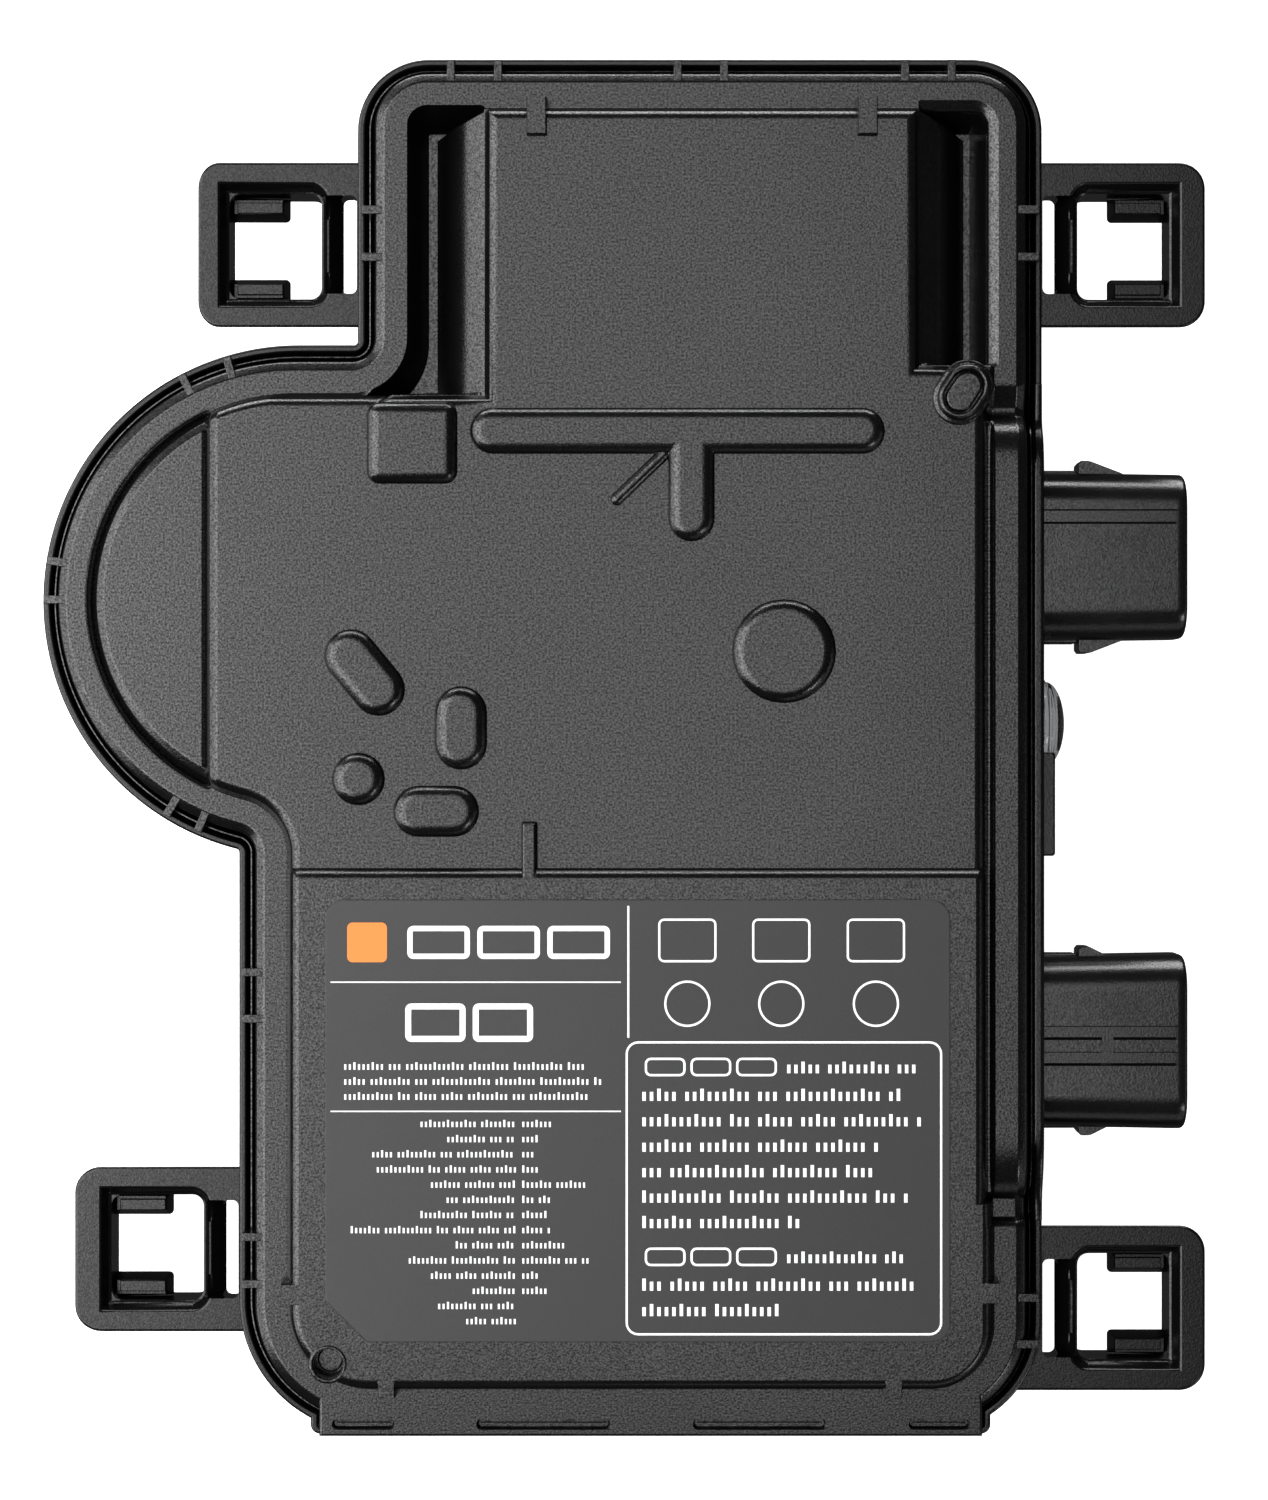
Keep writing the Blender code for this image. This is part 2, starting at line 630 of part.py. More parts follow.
def lid():
    """Cover with a stepped deck, two capacitor trenches, pads, lugs and a plateau for the label."""
    cover = case_loft("lid", [
        (10.4, DECK_Z), (9.2, DECK_Z - 0.4), (8.6, DECK_Z - 1.3), (BAND_END, BAND_Z),
        (BAND_INSET, BAND_Z),
        (2.9, BAND_Z - 0.5), (LID_INSET, BAND_Z - 1.5), (LID_INSET, LEDGE_Z + 2.3),
        (LID_SKIRT, LEDGE_Z + 2.3),
        (LID_SKIRT, BAND_Z - 2.0), (9.2, BAND_Z - 2.0), (10.3, DECK_Z - 1.8),
    ])
    # The lobe's roof is lower than the deck
    step_x = -63.3
    lobe_roof = case_loft("lobe_roof", [(9.0, LOBE_Z - 1.9), (8.3, LOBE_Z - 0.8), (9.4, LOBE_Z)])
    keep(lobe_roof, box("lobe_side", (-95, -20, 0), (step_x + 2.0, 65, 40)))
    add(cover, lobe_roof)
    cut(cover, box("lobe_drop", (-95, -20, LOBE_Z), (step_x, 65, 40)))
    # The label plateau stands above the deck
    plateau = case_loft("plateau", [
        (9.0, DECK_Z - 1.9), (8.7, DECK_Z - 1.0), (9.2, LABEL_Z - 0.8), (10.2, LABEL_Z),
    ])
    keep(plateau, box("label_side", (-70, -110, 0), (70, -19.2, 40)))
    add(cover, plateau, *lid_pads())
    under = case_loft("under", [(10.6, DECK_Z - 3), (10.6, LABEL_Z - 1.9)])
    cut(cover, keep(under, box("label_side", (-70, -110, 0), (70, -21.2, 40))))
    add(cover, pad("short_rib", lambda shrink: rounded_rect((-14.5, -14.9), 1.2 - shrink, 4.6, 0.3),
                   DECK_Z - 0.8, LABEL_Z, 0.4))
    # Trenches beside the capacitor box
    for shoulder_x, outwards, low_y in ((LEFT_SHOULDER_X, -1, LEFT_TRENCH_LOW_Y),
                                        (RIGHT_SHOULDER_X, 1, RIGHT_TRENCH_LOW_Y)):
        add(cover, trench_walls(shoulder_x, outwards, low_y))
        cut(cover, trench("space", shoulder_x, outwards, low_y, 0.0))
    # Lip over the lower edge, hump over the connectors
    add(cover, box("lip", (LIP_LOW_X, BOTTOM_Y, LEDGE_Z + 2.3), (LIP_HIGH_X, BOTTOM_Y + 6, BAND_Z)),
        box("lip_edge", (LIP_LOW_X, BOTTOM_Y, LEDGE_Z + GAP), (LIP_HIGH_X, BOTTOM_Y + 2.3, BAND_Z - 1)))
    hump_low, hump_high = RIGHT_X - 8.3, RIGHT_X - LID_INSET
    cut(cover, box("hump_room", (hump_low - 0.4, HUMP_LOW_Y - CREASE_RAMP + 0.01, BAND_Z - 1.8),
                   (hump_high + 3, HUMP_HIGH_Y + CREASE_RAMP - 0.01, BAND_Z + 1)))
    add(cover, prism("hump", hump_profile(BAND_Z - 3.0, BAND_Z, HUMP_RISE, CREASE_DROP),
                     hump_low - 1.2, hump_high, "X"))
    for x, y, half_x, half_y in LUGS:
        add(cover, box("lug", (x - half_x, y - half_y, BAND_Z - 0.8), (x + half_x, y + half_y, LABEL_Z)))
    add(cover, groove_ribs())
    # Bosses for the fill plug and the vent, and the slots in the lip
    fill_boss = loft("fill_boss", [
        (stadium(*FILL_PORT, FILL_RING_R + 0.9), DECK_Z - 4.0),
        (stadium(*FILL_PORT, FILL_RING_R + 0.9), DECK_Z + 0.4),
        (stadium(*FILL_PORT, FILL_RING_R), PAD_Z + 0.6),
    ])
    add(cover, fill_boss, cylinder("vent_boss", "Z", VENT, VENT_RING_R, BAND_Z - 2.0, LABEL_Z + 0.2))
    cut(cover, prism("fill_hole", stadium(*FILL_PORT, FILL_HOLE_R), DECK_Z - 2.0, PAD_Z + 2),
        cylinder("vent_hole", "Z", VENT, VENT_HOLE_R, BAND_Z - 0.5, LABEL_Z + 2))
    slots = [prism("slot", stadium((low, -103.6), (high, -103.6), 0.75, 4), BAND_Z - 1.6, BAND_Z + 1)
             for low, high in ((-44.2, -36.3), (-21.8, -3.1), (11.2, 30.0), (44.4, 52.4))]
    cut(cover, gather("slots", slots))
    return finish(cover, "lid", case_polymer())


# ---------------------------------------------------------------- small case pieces

def perimeter_seal():
    seal = case_loft("seal", [(2.7, LEDGE_Z + GAP), (2.7, LEDGE_Z + 2.0), (4.9, LEDGE_Z + 2.0),
                              (4.9, LEDGE_Z + GAP)], closed=True)
    return finish(seal, "perimeter_seal", seal_rubber())


def fill_plug():
    radius = FILL_HOLE_R - GAP
    plug = loft("plug", [
        (stadium(*FILL_PORT, radius), DECK_Z - 2.0 + GAP), (stadium(*FILL_PORT, radius), PAD_Z - 0.5),
        (stadium(*FILL_PORT, radius - 0.4), PAD_Z),
    ])
    return finish(plug, "fill_port_plug", case_polymer())


def vent_plug():
    radius = VENT_HOLE_R - GAP
    plug = turned("vent", "Z", VENT, [
        (radius, BAND_Z - 0.5 + GAP), (radius, BAND_Z + 0.7), (radius - 0.4, BAND_Z + 1.0),
    ])
    return finish(plug, "vent_plug", case_polymer())


def label_plate():
    """Thin nameplate with round corners and one clipped corner."""
    low_x, high_x, low_y, high_y, corner = -45.9, 49.9, -91.3, -23.5, 2.9
    clip = 6.2
    points = arc((high_x - corner, low_y + corner), corner, -90, 0, 5)
    points += arc((high_x - corner, high_y - corner), corner, 0, 90, 5)
    points += arc((low_x + corner, high_y - corner), corner, 90, 180, 5)
    points += [(low_x, low_y + clip + 0.8), (low_x + 0.4, low_y + clip), (low_x + clip, low_y + 0.4),
               (low_x + clip + 0.8, low_y)]
    return finish(prism("label", points, LABEL_Z + GAP, TOP_Z), "label_plate", label_film())


def status_lens():
    profile = [(LENS_STEM_R, RIGHT_X - 4.6), (LENS_STEM_R, RIGHT_X + GAP), (LENS_R, RIGHT_X + GAP),
               (LENS_R, RIGHT_X + GAP + 0.5)]
    height = LENS_TIP_X - RIGHT_X - GAP - 0.5
    for step in range(1, 6):
        angle = radians(17 * step)
        profile.append((LENS_R * cos(angle), RIGHT_X + GAP + 0.5 + height * sin(angle)))
    return finish(turned("lens", "X", (LENS_Y, CONNECTOR_Z), profile), "status_lens", clear_plastic())


def light_pipe():
    pipe = cylinder("pipe", "X", (LENS_Y, CONNECTOR_Z), 1.8, 47.5, RIGHT_X - 4.6 - GAP, 16)
    return finish(pipe, "light_pipe", clear_plastic())


# ---------------------------------------------------------------- connectors

def connector(name, middle, half_y, taper, grooves, ramp_length):
    """A shrouded plug housing: neck through the wall, shroud with latch ramps, socket with pin holes."""
    def section(shrink, extra=0.0):
        return rounded_rect((middle, CONNECTOR_Z), half_y - shrink + extra, SHROUD_HALF_Z - shrink,
                            SHROUD_CORNER_R - shrink, 6)

    def neck(shrink):
        return rounded_rect((middle, CONNECTOR_Z), NECK_HALF_Y - shrink, NECK_HALF_Z - shrink,
                            3.2 - shrink, 6)

    housing = loft(name, [
        (neck(0), RIGHT_X - 7.2), (neck(0), SHROUD_START_X), (section(0), SHROUD_START_X),
        (section(0, taper), SHROUD_END_X - 0.8), (section(0.6, taper), SHROUD_END_X),
        (section(SHROUD_WALL, taper), SHROUD_END_X), (section(SHROUD_WALL, taper), SOCKET_FLOOR_X),
    ], "X")
    for direction in (-1, 1):
        edge = middle + direction * (half_y - 0.6)
        tip = middle + direction * (half_y + 1.9)
        ramp = [(71.0, edge), (71.0, tip), (72.2, tip), (71.0 + ramp_length, edge)]
        add(housing, prism("ramp", ramp, CONNECTOR_Z - 3.0, CONNECTOR_Z + 3.0))
    for low_y, high_y in grooves:
        cut(housing, box("groove", (SHROUD_START_X - 1, low_y, CONNECTOR_Z + SHROUD_HALF_Z - 0.5),
                         (SHROUD_END_X - 1.6, high_y, CONNECTOR_Z + SHROUD_HALF_Z + 1)))
    for direction in (-1, 1):
        cut(housing, cylinder("pin_hole", "X", (middle + direction * PIN_SPREAD, CONNECTOR_Z), PIN_R + GAP,
                              RIGHT_X - 10, SOCKET_FLOOR_X + 2, 16))
    return finish(housing, name, connector_polymer())


def connector_seal(name, middle):
    outer = rounded_rect((middle, CONNECTOR_Z), NECK_HALF_Y + 1.4, NECK_HALF_Z + 1.4, 4.3)
    inner = rounded_rect((middle, CONNECTOR_Z), NECK_HALF_Y + GAP, NECK_HALF_Z + GAP, 3.4)
    low, high = RIGHT_X - SEAL_RECESS + GAP, RIGHT_X
    seal = loft(name, [(outer, low), (outer, high), (inner, high), (inner, low)], "X", closed=True)
    return finish(seal, name, seal_rubber())


def connector_retainer(name, middle):
    """Spring plate that grips the neck from inside the case."""
    outer = rounded_rect((middle, CONNECTOR_Z), NECK_HALF_Y + 2.6, 4.5, 2.0)
    inner = rounded_rect((middle, CONNECTOR_Z), NECK_HALF_Y + GAP, NECK_HALF_Z + GAP, 3.4)
    low, high = RIGHT_X - 7.1, RIGHT_X - 5.6 - GAP
    plate = loft(name, [(outer, low), (outer, high), (inner, high), (inner, low)], "X", closed=True)
    return finish(plate, name, aluminium())


def pin(name, y, outer_x):
    """Contact pin: straight through the connector, then down to the board."""
    profile = [(PIN_R, 53.2), (PIN_R, outer_x - 1.0), (PIN_R * 0.55, outer_x)]
    shaft = turned(name, "X", (y, CONNECTOR_Z), profile, 12)
    add(shaft, cylinder("foot", "Z", (54.2, y), PIN_R * 0.8, PART_Z, CONNECTOR_Z, 12))
    return finish(shaft, name, tinned_copper())


def connectors():
    connector("dc_connector_housing", DC_Y, DC_HALF_Y, -0.35, [(DC_Y + 5.3, DC_Y + 7.6)], 6.7)
    connector("ac_connector_housing", AC_Y, AC_HALF_Y, 0.6,
              [(AC_Y + 0.6, AC_Y + 2.8), (AC_Y - 3.4, AC_Y - 1.2)], 4.8)
    for side, middle, names in (("dc", DC_Y, ("positive", "negative")), ("ac", AC_Y, ("line", "neutral"))):
        connector_seal(side + "_connector_seal", middle)
        connector_retainer(side + "_connector_retainer", middle)
        for direction, pin_name in zip((1, -1), names):
            pin(side + "_pin_" + pin_name, middle + direction * PIN_SPREAD, SHROUD_END_X - 3.5)


# ---------------------------------------------------------------- electronics

def main_board():
    """Laminate that fills the cavity, notched at its edge for the connector necks."""
    board = case_loft("board", [(BOARD_INSET, BOARD_Z), (BOARD_INSET, BOARD_TOP_Z)])
    for middle in (DC_Y, AC_Y):
        cut(board, box("notch", (RIGHT_X - 7.6, middle - 12.6, 0), (RIGHT_X, middle + 12.6, 20)))
    return finish(board, "main_board", board_laminate())


def potting():
    """Resin bed between the case floor and the board, with room round the standoffs."""
    bed = case_loft("bed", [(BOARD_INSET, FLOOR_Z + GAP), (BOARD_INSET, BOARD_Z - GAP)])
    holes = [cylinder("room", "Z", centre, STANDOFF_R + GAP, 0, BOARD_Z + 1, 12) for centre in STANDOFFS]
    cut(bed, gather("rooms", holes))
    return finish(bed, "potting_bed", potting_resin())


CAPACITOR_R = 7.9
CAPACITOR_PITCH = 16.4


def capacitors():
    """Four storage capacitors lying side by side under the box at the upper end."""
    for index in range(4):
        x = 12.0 + (index - 1.5) * CAPACITOR_PITCH
        r = CAPACITOR_R
        profile = [(r - 0.5, 56.0), (r, 56.6), (r, 58.5), (r - 0.8, 59.3), (r, 60.1), (r, 93.1),
                   (r - 0.7, 93.7)]
        can = turned("can", "Y", (x, PART_Z + r), profile)
        finish(can, f"storage_capacitor_{index + 1}", capacitor_sleeve())


def transformer():
    """Two E-shaped ferrite halves clamped round a flat winding."""
    middle_x, middle_y, half_x, half_y = -4.0, 18.0, 16.0, 21.0
    split = 15.0
    low = PART_Z
    for name, base_z, tip_z in (("transformer_core_lower", low, split - GAP / 2),
                                ("transformer_core_upper", 2 * split - low, split + GAP / 2)):
        web = 4.0 if tip_z > base_z else -4.0
        core = box(name, (middle_x - half_x, middle_y - half_y, min(base_z, base_z + web)),
                   (middle_x + half_x, middle_y + half_y, max(base_z, base_z + web)))
        for offset, half in ((-half_y + 3, 3), (0, 5), (half_y - 3, 3)):
            add(core, box("leg", (middle_x - half_x, middle_y + offset - half, min(base_z, tip_z)),
                          (middle_x + half_x, middle_y + offset + half, max(base_z, tip_z))))
        finish(core, name, ferrite())
    outer = rounded_rect((middle_x, middle_y), half_x + 7, half_y - 6 - GAP, 4)
    inner = rounded_rect((middle_x, middle_y), half_x + GAP, 5 + GAP, 0.5)
    winding = loft("winding", [(outer, low + 4 + GAP), (outer, 2 * split - low - 4 - GAP),
                               (inner, 2 * split - low - 4 - GAP), (inner, low + 4 + GAP)], closed=True)
    finish(winding, "transformer_winding", winding_copper())


def ring_choke(name, centre, outer_r, inner_r, height, surface):
    """A ring core lying on the board, with rounded edges."""
    low = PART_Z
    soft = 1.4
    profile = [(inner_r, low + soft), (inner_r + soft, low), (outer_r - soft, low), (outer_r, low + soft),
               (outer_r, low + height - soft), (outer_r - soft, low + height), (inner_r + soft, low + height),
               (inner_r, low + height - soft)]
    return finish(turned(name, "Z", centre, profile, 28, closed=True), name, surface)


def chip(name, centre, half_x, half_y, height, surface, chamfer=0.5):
    """A moulded package or block standing on the board with a chamfered top edge."""
    body = loft(name, [
        (rounded_rect(centre, half_x, half_y, 0.4, 1), PART_Z),
        (rounded_rect(centre, half_x, half_y, 0.4, 1), PART_Z + height - chamfer),
        (rounded_rect(centre, half_x - chamfer, half_y - chamfer, 0.4, 1), PART_Z + height),
    ])
    return finish(body, name, surface)


def power_stage():
    """Input switches under thermal pads and one aluminium spreader."""
    spots = (27.0, 38.5)
    rows = (16.0, 38.0)
    index = 0
    for y in rows:
        for x in spots:
            index += 1
            chip(f"input_switch_{index}", (x, y), 4.0, 4.6, 2.2, moulding_compound(), 0.3)
    pad_low = PART_Z + 2.2 + GAP
    for number, y in enumerate(rows, 1):
        strip_outline = rounded_rect(((spots[0] + spots[1]) / 2, y), 10.5, 5.2, 0.8, 2)
        strip = prism("strip", strip_outline, pad_low, pad_low + 1.0)
        finish(strip, f"thermal_pad_{number}", thermal_silicone())
    spreader_low = pad_low + 1.0 + GAP
    plate = prism("plate", rounded_rect((32.8, 27.0), 13.0, 18.0, 2.0), spreader_low, spreader_low + 1.5)
    fins = []
    for step in range(5):
        x = 22.5 + 5 * step
        fins.append(box("fin", (x, 10.5, spreader_low + 1.0), (x + 1.5, 43.5, spreader_low + 7.0)))
    add(plate, gather("fins", fins))
    finish(plate, "heat_spreader", aluminium())


def fuse():
    """Cartridge fuse: two end caps on a thinner tube."""
    profile = [(2.6, 4.0), (2.9, 4.3), (2.9, 9.0), (2.5, 9.3), (2.5, 20.7), (2.9, 21.0), (2.9, 25.7),
               (2.6, 26.0)]
    barrel = turned("fuse", "X", (-86.0, PART_Z + 3.0), profile, 16)
    return finish(barrel, "ac_fuse", tinned_copper())


def varistor():
    disc = turned("varistor", "X", (-76.0, PART_Z + 7.2),
                  [(5.4, 32.0), (6.9, 33.2), (6.9, 35.0), (5.4, 36.2)], 20)
    return finish(disc, "surge_varistor", varistor_coat())


def electronics():
    main_board()
    potting()
    capacitors()
    transformer()
    power_stage()
    ring_choke("lobe_inductor", (-64.0, 22.0), 14.5, 6.5, 12.5, winding_copper())
    ring_choke("filter_choke", (34.0, -50.0), 11.0, 4.5, 11.0, winding_copper())
    chip("film_capacitor", (4.0, -48.0), 8.0, 13.0, 14.0, film_casing(), 0.8)
    chip("output_relay", (-16.0, -50.0), 6.0, 10.0, 13.0, moulding_compound(), 0.6)
    chip("controller_chip", (-38.0, -45.0), 6.5, 6.5, 1.4, moulding_compound(), 0.2)
    chip("current_sensor", (-38.0, -66.0), 4.0, 5.0, 2.2, moulding_compound(), 0.3)
    for index in range(4):
        centre = (-24.0 + index * 11.0, -76.0)
        chip(f"output_switch_{index + 1}", centre, 4.2, 4.8, 2.4, moulding_compound(), 0.3)
    fuse()
    varistor()
    chip("status_led", (45.2, LENS_Y), 1.9, 1.9, 4.0, clear_plastic(), 0.5)


def main():
    for item in list(bpy.data.objects):
        bpy.data.objects.remove(item)
    base_housing()
    lid()
    perimeter_seal()
    fill_plug()
    vent_plug()
    label_plate()
    status_lens()
    light_pipe()
    connectors()
    electronics()


main()
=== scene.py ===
"""Looks of the micro inverter: fine case surfaces, connectors, lens, label, materials and studio.

Lengths are in millimetres and become metres through MM when a mesh is made. The lid, the rim and the loops
are reliefs: a plan view triangulated along contour lines, with a height worked out for every point.
"""

import json
from math import atan2, cos, degrees, pi, radians, sin, sqrt

import bpy
import numpy as np
from mathutils import Matrix, Vector
from mathutils.geometry import delaunay_2d_cdt


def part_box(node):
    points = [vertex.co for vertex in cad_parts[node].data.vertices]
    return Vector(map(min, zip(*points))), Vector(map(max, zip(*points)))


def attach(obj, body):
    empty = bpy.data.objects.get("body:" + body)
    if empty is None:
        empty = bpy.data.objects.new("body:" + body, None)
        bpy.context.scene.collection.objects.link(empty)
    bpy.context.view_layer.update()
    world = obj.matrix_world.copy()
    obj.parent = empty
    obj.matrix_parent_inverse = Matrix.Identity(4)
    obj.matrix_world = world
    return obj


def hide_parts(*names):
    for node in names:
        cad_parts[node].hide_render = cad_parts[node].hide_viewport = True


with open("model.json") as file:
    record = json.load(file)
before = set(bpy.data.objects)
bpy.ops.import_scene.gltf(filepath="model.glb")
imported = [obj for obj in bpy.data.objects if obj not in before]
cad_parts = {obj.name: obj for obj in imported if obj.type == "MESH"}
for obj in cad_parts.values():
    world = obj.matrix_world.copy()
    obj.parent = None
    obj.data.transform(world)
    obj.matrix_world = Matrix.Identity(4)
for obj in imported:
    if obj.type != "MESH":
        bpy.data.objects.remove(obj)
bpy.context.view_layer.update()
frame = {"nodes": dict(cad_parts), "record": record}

MM = 0.001
TINY = 0.06                  # width of the strip that keeps a flat face flat next to a rounded edge
FLAT = 0.99999               # a face at least this level is shaded flat


def node_box(name):
    """Lowest and highest corner of a CAD node in millimetres."""
    low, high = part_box(name)
    return low / MM, high / MM


BASE_LOW, BASE_HIGH = node_box("base_housing")
LABEL_LOW, LABEL_HIGH = node_box("label_plate")
PORT_LOW, PORT_HIGH = node_box("fill_port_plug")
VENT_LOW, VENT_HIGH = node_box("vent_plug")
LENS_LOW, LENS_HIGH = node_box("status_lens")

# Case outline in plan view
LOOP_REACH = 25.43           # how far the mounting loops stand out from the case
RIGHT_X = BASE_HIGH.x - LOOP_REACH
BOX_X = RIGHT_X - 105.5      # left side of the capacitor box
LOWER_X = RIGHT_X - 123.8    # left side of the lower body
TOP_Y = BASE_HIGH.y
BOTTOM_Y = BASE_LOW.y
TOP_R = 11.0
LOWER_LEFT_R = 20.8
LOWER_RIGHT_R = 17.7
LOBE_X = RIGHT_X - 114.6
LOBE_Y = 22.5
LOBE_R = 39.45
NOTCH_R = 0.6

# Heights above the back
TOP_Z = LABEL_HIGH.z
LABEL_Z = LABEL_LOW.z - 0.3
DECK_Z = TOP_Z - 2.7
PAD_RISE = 1.65
LOBE_Z = DECK_Z - 2.2
BAND_Z = DECK_Z - 3.5
POCKET_Z = BAND_Z - 1.6
HUMP_Z = BAND_Z + 2.6
RIM_Z = BAND_Z - 4.4
LEDGE_Z = BAND_Z - 8.0
TRENCH_FLOOR_Z = BAND_Z - 9.8


# ---------------------------------------------------------------- side views of edges

def round_edge(turn, width, rise, steps=9):
    """A rounded edge, from its outer end up to the flat: a list of (way in, height), both 0 to 1."""
    angles = [radians(turn * (steps - step) / steps) for step in range(steps + 1)]
    return [(1 - width * sin(angle), 1 - rise * (1 - cos(angle))) for angle in angles]


STEP = [(0.0, 0.0), (0.02, 0.01)] + round_edge(70, 0.70, 0.48)      # a steep wall with a rounded upper edge
CROWN = [(0.0, 0.0)] + round_edge(86, 1.0, 1.0)[1:]                  # rounded all the way down
FLANK = [(0.0, 0.0), (0.92, 0.97), (1.0, 1.0)]                       # straight and steep


def firsts(table):
    return [row[0] for row in table]


def profile(distance, table):
    """Height at a distance, read from a table of (distance, height)."""
    return np.interp(distance, firsts(table), [row[1] for row in table])


def bank(distance, width, shape=STEP):
    """Rise of a moulded edge, from 0 to 1, at a distance in from its foot."""
    return profile(distance / width, shape)


def bank_knots(start, width, shape=STEP):
    """Where contour lines are needed across a moulded edge."""
    return [start - TINY] + [start + width * knot for knot in firsts(shape)] + [start + width + TINY]


# ---------------------------------------------------------------- plan outlines

def arc(centre, radius, start, end, steps):
    """Points on a circular arc, both ends included; angles in degrees."""
    angles = [radians(start + (end - start) * step / steps) for step in range(steps + 1)]
    return [(centre[0] + radius * cos(angle), centre[1] + radius * sin(angle)) for angle in angles]


def case_arcs():
    """The outline's arcs, counter-clockwise: centre, radius, start, end, bulge (1 out, -1 in), steps."""
    notch_x = LOWER_X - NOTCH_R
    notch_y = LOBE_Y - sqrt((LOBE_R + NOTCH_R) ** 2 - (notch_x - LOBE_X) ** 2)
    notch_angle = degrees(atan2(notch_y - LOBE_Y, notch_x - LOBE_X)) % 360
    upper_notch = (BOX_X - NOTCH_R, LOBE_Y + LOBE_R + NOTCH_R)
    return (
        ((RIGHT_X - LOWER_RIGHT_R, BOTTOM_Y + LOWER_RIGHT_R), LOWER_RIGHT_R, -90, 0, 1, 24),
        ((RIGHT_X - TOP_R, TOP_Y - TOP_R), TOP_R, 0, 90, 1, 20),
        ((BOX_X + TOP_R, TOP_Y - TOP_R), TOP_R, 90, 180, 1, 20),
        (upper_notch, NOTCH_R, 0, -90, -1, 12),
        ((LOBE_X, LOBE_Y), LOBE_R, 90, notch_angle, 1, 110),
        ((notch_x, notch_y), NOTCH_R, notch_angle - 180, 0, -1, 12),
        ((LOWER_X + LOWER_LEFT_R, BOTTOM_Y + LOWER_LEFT_R), LOWER_LEFT_R, 180, 270, 1, 24),
    )


def case_outline(inset):
    """The case outline moved inwards, always with the same point count."""
    points = []
    for centre, radius, start, end, bulge, steps in case_arcs():
        points += arc(centre, radius - bulge * inset, start, end, steps)
    return points


def circle(centre, radius):
    return arc(centre, radius, 0, 352.5, 47)


def stadium(start, end, radius, steps=14):
    """A strip with round ends round the line from start to end."""
    heading = degrees(atan2(end[1] - start[1], end[0] - start[0]))
    points = arc(end, radius, heading - 90, heading + 90, steps)
    return points + arc(start, radius, heading + 90, heading + 270, steps)


def rounded_rect(centre, half_u, half_v, corner, steps=5):
    points = []
    for sign_u, sign_v, start in ((1, -1, -90), (1, 1, 0), (-1, 1, 90), (-1, -1, 180)):
        middle = (centre[0] + sign_u * (half_u - corner), centre[1] + sign_v * (half_v - corner))
        points += arc(middle, corner, start, start + 90, steps)
    return points


def rect_lines(centre, half_u, half_v, corner, knots, steps=6):
    """Contour lines round a rectangle, at distances inwards from it."""
    lines = []
    for knot in knots:
        radius = max(corner - knot, 0.02)
        if half_u - knot > radius and half_v - knot > radius:
            lines.append((rounded_rect(centre, half_u - knot, half_v - knot, radius, steps), True))
    return lines


def line(x0, y0, x1, y1):
    return [(x0, y0), (x1, y1)], False


# ---------------------------------------------------------------- distances, on numpy arrays

def segment_distance(x, y, start, end):
    along_x, along_y = end[0] - start[0], end[1] - start[1]
    length = max(along_x ** 2 + along_y ** 2, 1e-12)
    share = np.clip(((x - start[0]) * along_x + (y - start[1]) * along_y) / length, 0, 1)
    return np.hypot(x - start[0] - share * along_x, y - start[1] - share * along_y)


def case_inset(x, y):
    """Distance inwards from the case outline; below 0 outside of it."""
    arcs = case_arcs()
    distance = np.full_like(x, 1e3)
    for (centre, radius, start, end, bulge, _), after in zip(arcs, arcs[1:] + arcs[:1]):
        angle = np.degrees(np.arctan2(y - centre[1], x - centre[0]))
        sweep = (angle - min(start, end)) % 360
        reach = np.hypot(x - centre[0], y - centre[1])
        near = np.where(sweep <= abs(end - start), np.abs(reach - radius), 1e3)
        here = arc(centre, radius, start, end, 1)[-1]
        there = arc(after[0], after[1], after[2], after[3], 1)[0]
        distance = np.minimum(distance, np.minimum(near, segment_distance(x, y, here, there)))
    return np.where(inside_polygon(x, y, case_outline(0)), distance, -distance)


def inside_polygon(x, y, points):
    """True where a point is inside a polygon, by counting the sides it has to its right."""
    inside = np.zeros(x.shape, bool)
    for (x0, y0), (x1, y1) in zip(points, points[1:] + points[:1]):
        if y0 == y1:
            continue
        crosses = (y0 > y) != (y1 > y)
        inside ^= crosses & (x < (x1 - x0) * (y - y0) / (y1 - y0) + x0)
    return inside


def rect_inset(x, y, centre, half_x, half_y, corner=0.0):
    """Distance inwards from a rectangle with round corners; below 0 outside of it."""
    over_x = np.abs(x - centre[0]) - half_x + corner
    over_y = np.abs(y - centre[1]) - half_y + corner
    outside = np.hypot(np.maximum(over_x, 0), np.maximum(over_y, 0))
    return corner - outside - np.minimum(np.maximum(over_x, over_y), 0)


# ---------------------------------------------------------------- meshes

